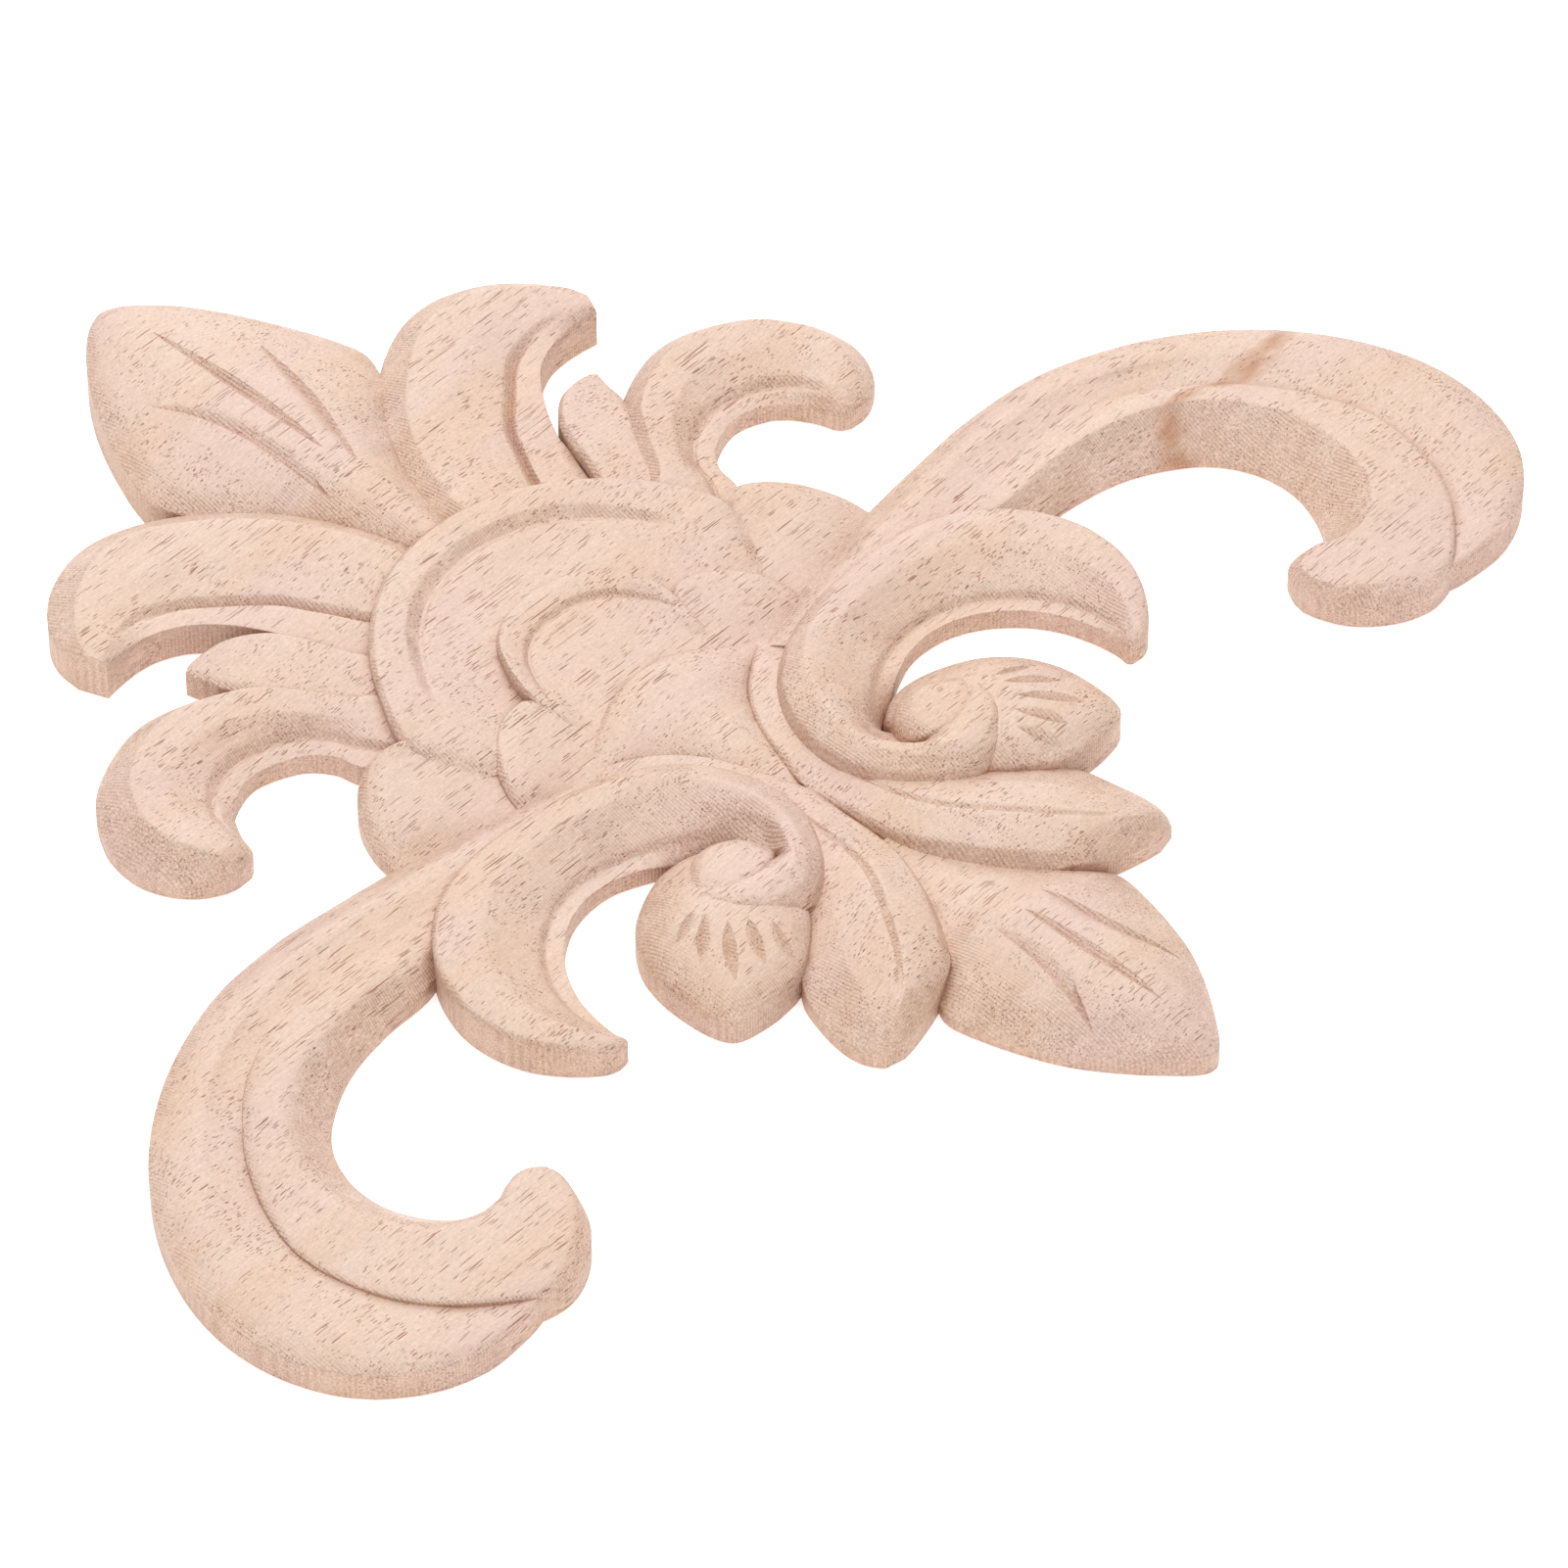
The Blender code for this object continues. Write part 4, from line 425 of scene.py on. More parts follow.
STRAND_INNER = [
    ((47.6, -8.2), (48.4, -14.4), [(0, 3.9), (1.2, 4.3), (2.4, 4.5)], [(2.0, 4.7), (1.0, 4.5), (0, 4.2)]),
    ((57.0, -8.8), (57.5, -18.1), [(0, 4.2), (1.4, 4.8), (3.0, 5.1)], [(3.6, 5.2), (1.9, 4.0), (0, 2.6)]),
    ((66.3, -8.6), (66.1, -18.6), [(0, 4.8), (1.4, 5.2), (3.2, 5.6)], [(4.4, 5.8), (2.3, 3.9), (0, 1.8)]),
    ((76.8, -9.8), (74.4, -20.3), [(0, 5.1), (1.2, 5.4), (3.0, 5.8)], [(5.4, 6.1), (2.8, 3.9), (0, 1.3)]),
    ((86.3, -13.9), (81.3, -23.9), [(0, 5.2), (0.9, 5.6), (2.2, 6.0)], [(6.6, 6.3), (3.4, 3.8), (0, 1.0)]),
    ((93.1, -19.7), (85.5, -27.9), [(0, 5.3), (0.7, 5.7), (2.0, 6.1)], [(6.9, 6.4), (3.5, 3.8), (0, 1.0)]),
    ((98.2, -26.1), (87.7, -32.5), [(0, 5.3), (0.7, 5.8), (2.6, 6.1)], [(7.3, 6.4), (3.7, 3.8), (0, 1.0)]),
    ((101.7, -33.1), (88.3, -36.7), [(0, 5.2), (0.7, 5.7), (3.6, 6.0)], [(7.5, 6.4), (3.8, 3.8), (0, 1.0)]),
    ((103.5, -40.1), (87.8, -40.5), [(0, 5.2), (0.7, 5.6), (4.2, 6.0)], [(7.6, 6.4), (3.8, 3.8), (0, 1.0)]),
    ((102.9, -46.9), (86.3, -44.2), [(0, 5.2), (0.7, 5.6), (4.6, 6.0)], [(7.8, 6.4), (3.9, 3.9), (0, 1.1)]),
    ((100.8, -53.3), (84.6, -47.0), [(0, 5.2), (0.7, 5.6), (4.8, 6.0)], [(7.4, 6.4), (3.7, 4.1), (0, 1.4)]),
    ((97.4, -58.6), (82.9, -49.0), [(0, 5.2), (0.7, 5.6), (5.0, 6.0)], [(6.0, 6.4), (3.0, 4.5), (0, 1.9)]),
    ((93.6, -62.4), (81.6, -50.1), [(0, 5.2), (0.7, 5.6), (5.0, 6.0)], [(4.6, 6.3), (2.3, 4.9), (0, 2.5)]),
    ((89.9, -65.3), (80.3, -50.7), [(0, 5.1), (0.7, 5.6), (4.6, 6.0)], [(3.1, 6.3), (1.5, 5.3), (0, 3.4)]),
    ((87.2, -66.7), (79.3, -51.0), [(0, 4.8), (0.7, 5.4), (4.0, 6.0)], [(1.9, 6.2), (0.9, 5.5), (0, 4.4)]),
    ((83.3, -67.1), (78.3, -51.0), [(0, 4.2), (1.0, 5.2), (3.4, 6.0)], [(1.2, 6.2), (0.5, 6.0), (0, 5.5)]),
    ((79.3, -65.8), (77.1, -50.5), [(0, 3.6), (1.2, 5.0), (3.0, 6.0)], [(1.8, 6.2), (0.6, 5.8), (0, 5.0)]),
    ((75.7, -63.2), (75.7, -49.6), [(0, 3.3), (1.2, 4.9), (2.8, 6.0)], [(2.2, 6.2), (1.0, 5.3), (0, 3.8)]),
    ((73.3, -60.2), (74.3, -49.6), [(0, 3.0), (1.2, 4.9), (2.4, 6.0)], [(2.4, 6.1), (1.2, 4.9), (0, 3.0)]),
    ((72.0, -56.9), (73.0, -51.0), [(0, 2.8), (1.0, 4.6), (1.9, 5.9)], [(1.9, 6.0), (1.0, 4.6), (0, 2.8)]),
    ((71.6, -54.6), (72.1, -52.6), [(0, 2.6), (0.3, 3.2), (0.6, 3.7)], [(0.6, 3.7), (0.3, 3.2), (0, 2.6)]),
]
SCROLL_SMALL = [
    ((25.6, -32.4), (25.0, -33.0), [(0, 5.4), (0.1, 5.5), (0.2, 5.6), (0.3, 5.6)],
     [(0.3, 5.6), (0.2, 5.5), (0, 5.4)]),
    ((27.0, -36.2), (25.2, -35.8), [(0, 7.2), (0.3, 7.5), (0.6, 7.7), (0.9, 7.8)],
     [(0.6, 7.8), (0.3, 7.7), (0, 7.5)]),
    ((25.8, -40.2), (22.6, -37.7), [(0, 7.7), (0.4, 8.2), (1.0, 8.5), (1.9, 8.7)],
     [(1.4, 8.6), (0.7, 8.4), (0, 8.0)]),
    ((23.4, -43.3), (19.4, -38.5), [(0, 7.6), (0.5, 8.3), (1.4, 8.8), (3.0, 9.0)],
     [(2.0, 8.8), (1.0, 8.6), (0, 8.0)]),
    ((19.5, -46.2), (16.4, -38.3), [(0, 6.2), (0.7, 7.4), (2.0, 8.4), (4.4, 8.9)],
     [(2.4, 8.8), (1.2, 8.4), (0, 7.6)]),
    ((15.0, -46.4), (14.2, -37.6), [(0, 5.0), (0.9, 6.8), (2.6, 8.0), (5.0, 8.7)],
     [(2.2, 8.4), (1.2, 7.6), (0, 6.2)]),
    ((10.2, -43.2), (13.6, -36.2), [(0, 4.8), (0.9, 6.6), (3.0, 7.9), (5.0, 8.3)],
     [(1.9, 7.6), (0.9, 5.6), (0, 4.4)]),
    ((6.8, -38.8), (15.0, -33.4), [(0, 4.8), (0.8, 6.6), (3.4, 7.9), (5.0, 7.9)],
     [(3.2, 5.4), (1.6, 4.8), (0, 4.6)]),
    ((4.7, -34.2), (15.2, -31.6), [(0, 4.7), (0.7, 6.6), (4.0, 8.0), (5.6, 7.4)],
     [(4.0, 5.8), (2.0, 4.8), (0, 3.4)]),
    ((4.3, -29.4), (15.2, -29.8), [(0, 4.6), (0.7, 6.6), (4.4, 8.2), (6.6, 7.1)],
     [(3.0, 5.8), (1.8, 4.8), (0, 2.6)]),
    ((5.2, -24.4), (17.6, -28.2), [(0, 4.6), (0.7, 6.6), (4.6, 8.3), (7.4, 7.2)],
     [(3.0, 5.4), (2.0, 4.2), (0, 2.0)]),
    ((7.4, -19.4), (21.0, -26.4), [(0, 4.6), (0.7, 6.6), (4.6, 8.2), (7.6, 7.0)],
     [(3.2, 4.9), (2.4, 3.8), (0, 2.2)]),
    ((11.2, -14.9), (24.6, -24.4), [(0, 4.6), (0.8, 6.5), (4.0, 7.9), (6.6, 7.0)],
     [(3.4, 4.3), (2.6, 3.3), (0, 2.8)]),
    ((17.0, -11.2), (28.8, -22.8), [(0, 4.8), (0.9, 6.3), (3.2, 7.4), (6.0, 6.9)],
     [(3.4, 3.7), (2.6, 2.7), (0, 2.8)]),
    ((25.2, -8.7), (32.9, -22.6), [(0, 5.0), (0.9, 6.2), (2.6, 6.9), (5.6, 6.7)],
     [(3.4, 3.7), (2.6, 2.7), (0, 3.0)]),
    ((34.3, -7.9), (36.9, -23.5), [(0, 5.2), (0.7, 6.2), (2.4, 6.7), (5.6, 6.5)],
     [(3.4, 3.8), (2.6, 2.8), (0, 3.1)]),
    ((43.4, -8.9), (40.5, -25.5), [(0, 5.6), (0.6, 6.4), (3.0, 6.8), (6.2, 6.6)],
     [(3.4, 3.9), (2.6, 2.9), (0, 3.2)]),
    ((51.0, -12.3), (43.6, -28.3), [(0, 5.9), (0.5, 6.5), (3.8, 6.9), (6.6, 6.6)],
     [(3.4, 4.0), (2.6, 3.0), (0, 3.2)]),
    ((56.7, -18.1), (45.8, -31.3), [(0, 5.9), (0.5, 6.5), (4.2, 6.8), (6.8, 6.5)],
     [(3.2, 4.0), (2.4, 3.1), (0, 3.2)]),
    ((59.7, -24.8), (47.3, -34.5), [(0, 5.7), (0.5, 6.3), (4.4, 6.6), (6.9, 6.3)],
     [(2.9, 4.1), (2.2, 3.2), (0, 3.2)]),
    ((60.1, -30.7), (48.1, -37.5), [(0, 5.4), (0.5, 6.0), (4.4, 6.3), (6.6, 6.0)],
     [(2.5, 4.1), (1.9, 3.4), (0, 3.2)]),
    ((58.7, -36.1), (48.5, -40.1), [(0, 5.0), (0.5, 5.8), (4.2, 6.0), (6.0, 5.7)],
     [(2.0, 4.3), (1.5, 3.8), (0, 3.2)]),
    ((55.9, -40.5), (48.6, -42.2), [(0, 4.6), (0.5, 5.3), (3.2, 5.5), (4.6, 5.3)],
     [(1.4, 4.5), (1.0, 4.2), (0, 3.2)]),
    ((52.5, -43.8), (48.4, -43.7), [(0, 3.9), (0.5, 4.5), (1.6, 4.7), (2.4, 4.6)],
     [(0.9, 4.3), (0.7, 4.2), (0, 3.3)]),
    ((50.6, -44.5), (48.9, -44.3), [(0, 3.4), (0.3, 3.9), (0.7, 4.0), (0.9, 4.0)],
     [(0.5, 3.9), (0.4, 3.8), (0, 3.3)]),
]
strand_left = [(o, i, a, [(d * LEFT_BEVEL, z) for d, z in b]) for o, i, a, b in STRAND_INNER]

for side in (1, -1):
    loft("strand_outer", STRAND_OUTER, side, SOFT_ROUND)
    loft("scroll_small", SCROLL_SMALL, side)
loft("strand_inner", STRAND_INNER, 1)
loft("strand_inner", strand_left, -1, SOFT_ROUND)

# The berries at the roots of the wings. Each is a low dome with a blunt corner, and the scroll's end
# winds over its upper end round a small flat eye.
BERRY_OUTLINE = [
    (16.0, -29.4, 3.0), (19.6, -27.4, 3.0), (24.2, -26.5, 2.0), (29.2, -28.4, 2.6), (33.7, -31.3, 3.0),
    (37.1, -35.6, 3.4), (38.7, -40.6, 4.0), (39.0, -45.4, 4.2), (38.6, -49.6, 4.3), (37.2, -52.2, 4.5),
    (33.8, -53.2, 4.8), (29.4, -53.4, 4.9), (25.0, -52.6, 5.0), (20.8, -49.9, 5.1), (17.4, -46.6, 5.0),
    (15.6, -42.0, 4.6), (14.6, -34.5, 3.2),
]
BERRY_CENTRE = (25.0, -40.5)
BERRY_CROWN = 8.2
BERRY_FULLNESS = 0.7
DOME_RINGS = 14
RING_CROWDING = 1.35
DOME_POWER = 2.4
CAP_OUTLINE = [
    (25.2, -32.4, 5.4), (26.0, -34.6, 7.0), (24.6, -36.9, 7.8), (22.2, -38.3, 8.0), (19.4, -39.0, 8.1),
    (16.4, -38.8, 7.8), (14.2, -37.8, 6.6), (13.1, -36.4, 5.0), (13.6, -34.0, 4.6), (15.0, -31.7, 4.6),
    (17.8, -30.1, 4.8), (21.4, -29.9, 5.0),
]
CAP_CENTRE = (19.8, -34.8)
CAP_CROWN = 8.5
CAP_FULLNESS = 0.45


def dome(name, outline, centre, crown, fullness, side):
    """Closed round form over an outline of (x, y, edge height), rising to its crown."""
    ring_points = curve_through(outline + outline[:1], ROW_STEP)[:-1]
    bm = bmesh.new()
    rings = []
    for k in range(DOME_RINGS):
        inward = (k / DOME_RINGS) ** RING_CROWDING
        rise = (1 - (1 - inward) ** DOME_POWER) ** fullness
        ring = []
        for x, y, edge in ring_points:
            px = x + (centre[0] - x) * inward
            py = y + (centre[1] - y) * inward
            ring.append(bm.verts.new((side * px * MM, py * MM, (edge + (crown - edge) * rise) * MM)))
        rings.append(ring)
    top = bm.verts.new((side * centre[0] * MM, centre[1] * MM, crown * MM))
    low = [bm.verts.new((v.co.x, v.co.y, -BELOW_BACK * MM)) for v in rings[0]]
    count = len(ring_points)
    for i in range(count):
        j = (i + 1) % count
        for a, b in zip(rings, rings[1:]):
            bm.faces.new((a[i], a[j], b[j], b[i]))
        bm.faces.new((rings[-1][i], rings[-1][j], top))
        bm.faces.new((low[i], low[j], rings[0][j], rings[0][i]))
    bm.faces.new(low[::-1])
    FORMS.append(link_mesh(name, bm))


for side in (1, -1):
    dome("berry", BERRY_OUTLINE, BERRY_CENTRE, BERRY_CROWN, BERRY_FULLNESS, side)
    dome("berry_cap", CAP_OUTLINE, CAP_CENTRE, CAP_CROWN, CAP_FULLNESS, side)

# The carving as one piece. All the forms were cut from one board with no seam between them, and the
# back is sawn flat so that it can be glued on.
BLOCK_SIZE = (0.4, 0.4, 0.02)


def combine(target, tool, operation):
    """Joins the tool to the target or cuts it away, and leaves a plain mesh."""
    modifier = target.modifiers.new("join", "BOOLEAN")
    modifier.operation = operation
    modifier.solver = "MANIFOLD"
    modifier.object = tool
    bpy.context.view_layer.update()
    graph = bpy.context.evaluated_depsgraph_get()
    mesh = bpy.data.meshes.new_from_object(target.evaluated_get(graph))
    target.modifiers.clear()
    target.data = mesh
    bpy.data.objects.remove(tool, do_unlink=True)


carving = FORMS[0]
carving.name = "carved_applique"
for form in FORMS[1:]:
    combine(carving, form, "UNION")
bpy.ops.mesh.primitive_cube_add(size=1.0, location=(0, 0, -BLOCK_SIZE[2] / 2))
block = bpy.context.active_object
block.scale = BLOCK_SIZE
bpy.ops.object.transform_apply(location=True, rotation=False, scale=True)
combine(carving, block, "DIFFERENCE")

# The V cuts of the leaves and berries, struck with a V gouge: long on the leaves, short and wide in a
# fan on each berry. A node tree sweeps one V shaped cutter along each path over the carved surface.
LEAF_CUTS = [
    ([(0.9, 90.5), (0.9, 81.0), (0.7, 70.0), (0.0, 57.5)], 2.1, 0.9),
    ([(9.4, 78.5), (7.9, 72.5), (5.6, 64.0), (1.8, 52.8)], 2.1, 0.9),
    ([(-9.2, 80.6), (-6.6, 75.0), (-4.9, 66.0), (-5.2, 51.0)], 2.1, 0.9),
    ([(0.0, -91.0), (0.0, -80.0), (0.0, -68.0)], 2.0, 0.8),
    ([(8.6, -87.0), (5.6, -77.0), (4.6, -67.0)], 1.9, 0.8),
    ([(-8.6, -87.0), (-5.6, -77.0), (-4.6, -67.0)], 1.9, 0.8),
]
BERRY_CUTS = [
    ([(29.0, -37.3), (31.6, -38.0), (34.2, -39.0)], 1.4, 0.5),
    ([(28.8, -39.1), (31.8, -41.2), (34.7, -43.8)], 1.8, 0.7),
    ([(27.8, -42.0), (31.0, -45.2), (33.9, -49.0)], 2.0, 0.8),
    ([(25.7, -43.7), (27.6, -46.6), (29.3, -49.9)], 2.0, 0.8),
    ([(23.7, -46.0), (24.9, -48.8), (25.8, -51.8)], 1.8, 0.7),
]
CUT_FADE = [(0.0, 0.05), (0.25, 0.72), (0.5, 1.0), (0.75, 0.78), (1.0, 0.05)]
CUT_STEP = 1.6
RAY_START = 0.1
# A triangle of radius one is 1 / 0.866 wide at its centre, where it lies in the carved surface.
SURFACE_SHARE = 0.866


def cutter_tree():
    """Sweeps a V along the cut's path, its point down: wide in the middle, running out at both ends."""
    tree = bpy.data.node_groups.new("v_cutter", "GeometryNodeTree")
    tree.interface.new_socket("Path", in_out="INPUT", socket_type="NodeSocketGeometry")
    width = tree.interface.new_socket("Width", in_out="INPUT", socket_type="NodeSocketFloat")
    depth = tree.interface.new_socket("Depth", in_out="INPUT", socket_type="NodeSocketFloat")
    tree.interface.new_socket("Cutter", in_out="OUTPUT", socket_type="NodeSocketGeometry")
    nodes = tree.nodes
    given = nodes.new("NodeGroupInput")
    curve = nodes.new("GeometryNodeMeshToCurve")
    along = nodes.new("GeometryNodeSplineParameter")
    fade = nodes.new("ShaderNodeFloatCurve")
    points = fade.mapping.curves[0].points
    points[0].location = CUT_FADE[0]
    points[1].location = CUT_FADE[-1]
    for along_path, share in CUT_FADE[1:-1]:
        points.new(along_path, share)
    fade.mapping.update()
    upright = nodes.new("GeometryNodeSetCurveNormal")
    upright.mode = "Z_UP"
    triangle = nodes.new("GeometryNodeMeshCircle")
    triangle.inputs["Vertices"].default_value = 3
    triangle.inputs["Radius"].default_value = 1.0
    outline = nodes.new("GeometryNodeMeshToCurve")
    stretch = nodes.new("GeometryNodeTransform")
    stretch.inputs["Rotation"].default_value = (0.0, 0.0, math.pi / 2)
    at_surface = nodes.new("ShaderNodeMath")
    at_surface.operation = "MULTIPLY"
    at_surface.inputs[1].default_value = SURFACE_SHARE
    factors = nodes.new("ShaderNodeCombineXYZ")
    sweep = nodes.new("GeometryNodeCurveToMesh")
    sweep.inputs["Fill Caps"].default_value = True
    realize = nodes.new("GeometryNodeRealizeInstances")
    finish = nodes.new("GeometryNodeSetMaterial")
    leave = nodes.new("NodeGroupOutput")
    for source, output, target, entry in [
        (given, "Path", curve, "Mesh"), (curve, "Curve", upright, "Curve"),
        (upright, "Curve", sweep, "Curve"), (along, "Factor", fade, "Value"), (fade, "Value", sweep, "Scale"),
        (given, "Width", at_surface, 0), (at_surface, "Value", factors, "Y"), (given, "Depth", factors, "X"),
        (triangle, "Mesh", outline, "Mesh"), (outline, "Curve", stretch, "Geometry"),
        (factors, "Vector", stretch, "Scale"), (stretch, "Geometry", sweep, "Profile Curve"),
        (sweep, "Mesh", realize, "Geometry"), (realize, "Geometry", finish, "Geometry"),
        (finish, "Geometry", leave, "Cutter"),
    ]:
        tree.links.new(source.outputs[output], target.inputs[entry])
    return tree, width.identifier, depth.identifier


def cutter(tree, width_socket, depth_socket, path, width, depth, surface, side):
    """The V cutter of one cut, laid on the carved surface, as a plain closed mesh."""
    mesh = bpy.data.meshes.new("cut_path")
    places = []
    for x, y in curve_through(path, CUT_STEP):
        above = Vector((side * x * MM, y * MM, RAY_START))
        places.append(surface.ray_cast(above, Vector((0, 0, -1)))[0])
    mesh.from_pydata(places, [(i, i + 1) for i in range(len(places) - 1)], [])
    item = bpy.data.objects.new("cutter", mesh)
    bpy.context.scene.collection.objects.link(item)
    modifier = item.modifiers.new("sweep", "NODES")
    modifier.node_group = tree
    modifier[width_socket] = width * MM
    modifier[depth_socket] = depth * MM
    bpy.context.view_layer.update()
    graph = bpy.context.evaluated_depsgraph_get()
    swept = bpy.data.meshes.new_from_object(item.evaluated_get(graph))
    item.modifiers.clear()
    item.data = swept
    return item


tree, width_socket, depth_socket = cutter_tree()
work = bmesh.new()
work.from_mesh(carving.data)
surface = BVHTree.FromBMesh(work)
work.free()
cuts = [(cut, 1) for cut in LEAF_CUTS] + [(cut, side) for side in (1, -1) for cut in BERRY_CUTS]
for (path, width, depth), side in cuts:
    gouge = cutter(tree, width_socket, depth_socket, path, width, depth, surface, side)
    combine(carving, gouge, "DIFFERENCE")

# The finished surface. Slivers that the cuts left are merged, slopes are shaded smooth, and only the
# crisp carved edges stay sharp.
SHARP_ANGLE = math.radians(38)
SLIVER = 1e-6
work = bmesh.new()
work.from_mesh(carving.data)
bmesh.ops.remove_doubles(work, verts=work.verts[:], dist=SLIVER)
bmesh.ops.dissolve_degenerate(work, edges=work.edges[:], dist=SLIVER)
bmesh.ops.triangulate(work, faces=work.faces[:])
loose = [edge for edge in work.edges if not edge.link_faces]
bmesh.ops.delete(work, geom=loose, context="EDGES")
work.to_mesh(carving.data)
work.free()
carving.data.shade_smooth()
carving.data.set_sharp_from_angle(angle=SHARP_ANGLE)
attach(carving, "root")
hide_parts("applique")

# The wood. Bare rubberwood, sanded but unfinished: cream and pinkish tan in long bands along X, with
# open pores as dark dashes on the flats and as dots on the slopes, the tool's fine steps on slopes,
# brown painted shade in the hollows, and the orange-brown streaks of a knot on one wing.
PALE_WOOD = (0.640, 0.474, 0.384, 1.0)
WARM_WOOD = (0.620, 0.442, 0.334, 1.0)
PINK_WOOD = (0.625, 0.450, 0.386, 1.0)
PORE_WOOD = (0.27, 0.075, 0.038, 1.0)
KNOT_WOOD = (0.40, 0.17, 0.07, 1.0)
WALL_TINT = (0.96, 0.91, 0.87, 1.0)
# The colour that multiplies the wood in the hollows as painted shade, and along the tool's steps.
SHADE_AND_STEP_TINT = (0.71, 0.56, 0.465, 1.0)
WOOD_ROUGHNESS = 0.5
PORE_ROUGHNESS = 0.2
WOOD_SHINE = 0.4
# The painted shade in the hollows comes from the share of the sky the carving hides within this reach, over
# these rays and this range.
HOLLOW_REACH = 2.4
HOLLOW_RAYS = 20
HOLLOW_RANGE = (0.22, 0.74)
RAY_LIFT = 0.05
# Patterns: repeats per millimetre along the grain and across it, offset, detail, roughness and bend.
# The offset moves a pattern along X, Y and Z by these shares of it, so that no two patterns agree.
OFFSET_SHARES = (1.0, 0.37, 0.71)
NOISE_MIDDLE = 0.5
BANDS = (0.018, 0.11, 3.1, 3.0, 0.55, 0.3)
BLUSH = (0.03, 0.07, 11.7, 2.0, 0.5, 0.0)
FIBRES = (0.12, 2.6, 5.3, 3.0, 0.6, 0.0)
SPECKLE = (1.7, 3.4, 9.1, 2.0, 0.7, 0.0)
KNOT_WAVER = (0.35, 0.9, 2.2, 3.0, 0.6, 0.0)
PORE_CROWD = (0.03, 0.22, 6.4, 2.0, 0.5, 0.0)
STEP_PATCHES = (0.12, 0.3, 21.0, 3.0, 0.6, 0.0)
# Ranges over which a pattern, or the steepness of a slope, goes from nothing to full.
BAND_RANGE = (0.36, 0.64)
BLUSH_RANGE = (0.42, 0.66)
CROWD_RANGE = (0.32, 0.62)
PATCH_RANGE = (0.30, 0.60)
STREAK_RANGE = (0.8, 1.7)
STREAK_CORE_RANGE = (1.55, 2.1)
PORE_RIM_RANGE = (0.0, 0.05)
SPECKLE_SLOPES = (0.02, 0.3)
STEP_SLOPES = (0.01, 0.13)
WALL_SLOPES = (0.05, 0.9)
# Strengths, and pairs of a factor and what is added to it.
BLUSH_SHARE = 0.7
FIBRE_SHADE = (0.32, 0.845)
SPECKLE_SHADE = (0.34, 0.26)
SPECKLE_SPAN = 2.0
WAVER_SIZE = 1.3
STREAK_SHARE = 0.45
STREAK_CORE_SHARE = 0.5
CROWD_SIZE = (0.3, 0.78)
PORE_DARKNESS = (0.6, 0.4)
PORE_SHARE = 0.92
# How strongly the tool's steps show in the hollows, where they carry the painted shade.
STEPS_IN_SHADE = 0.8
STEP_SHARE = 0.44
# Depths of the relief and the pitch of the tool's steps, in millimetres.
PORE_DEPTH = 0.06
TOOL_DEPTH = 0.06
FIBRE_DEPTH = 0.01
SPECKLE_DEPTH = 0.03
TOOL_PITCH = 0.42
# A wave texture of scale one has a band over each of these lengths.
WAVE_LENGTH = math.tau / 20
# Pores: cell length and width, pore size in its cell, share of cells that have one, and offset.
PORE_LAYERS = [(13.0, 0.27, 0.33, 0.60, 1.0), (6.6, 0.26, 0.33, 0.72, 7.7), (3.2, 0.22, 0.31, 0.55, 15.2)]
# The knot's streaks: centre, half length, half width and turn.
STREAK_REACH = 1.5
KNOT_STREAKS = [
    ((105.2, -21.2), 4.6, 1.6, 0.15), ((99.0, -21.8), 4.6, 2.2, -0.1), ((93.8, -21.0), 2.6, 1.0, -0.5),
    ((88.2, -19.4), 3.6, 1.2, -0.25), ((83.4, -21.0), 3.2, 2.4, 0.7), ((81.4, -25.2), 4.2, 2.7, 1.45),
]


def hollow_shade_shares(mesh):
    """For each vertex, the share of the sky near it that the carving hides, which sets its painted shade."""
    work = bmesh.new()
    work.from_mesh(mesh)
    tree = BVHTree.FromBMesh(work)
    directions = []
    for k in range(HOLLOW_RAYS):
        height = 1.0 - (k + 0.5) / HOLLOW_RAYS
        turn = k * math.pi * (3.0 - math.sqrt(5.0))
        spread = math.sqrt(1.0 - height)
        directions.append(Vector((spread * math.cos(turn), spread * math.sin(turn), math.sqrt(height))))
    low, high = HOLLOW_RANGE
    shares = []
    up = Vector((0, 0, 1))
    for vertex in work.verts:
        turned = up.rotation_difference(vertex.normal)
        start = vertex.co + vertex.normal * RAY_LIFT * MM
        hits = 0
        for direction in directions:
            if tree.ray_cast(start, turned @ direction, HOLLOW_REACH * MM)[0] is not None:
                hits += 1
        shares.append(min(max((hits / HOLLOW_RAYS - low) / (high - low), 0.0), 1.0))
    work.free()
    return shares


# Painted shade of the hollows, stored on each vertex for the wood to read.
hollow_shade = carving.data.attributes.new("hollow_shade", "FLOAT", "POINT")
hollow_shade.data.foreach_set("value", hollow_shade_shares(carving.data))


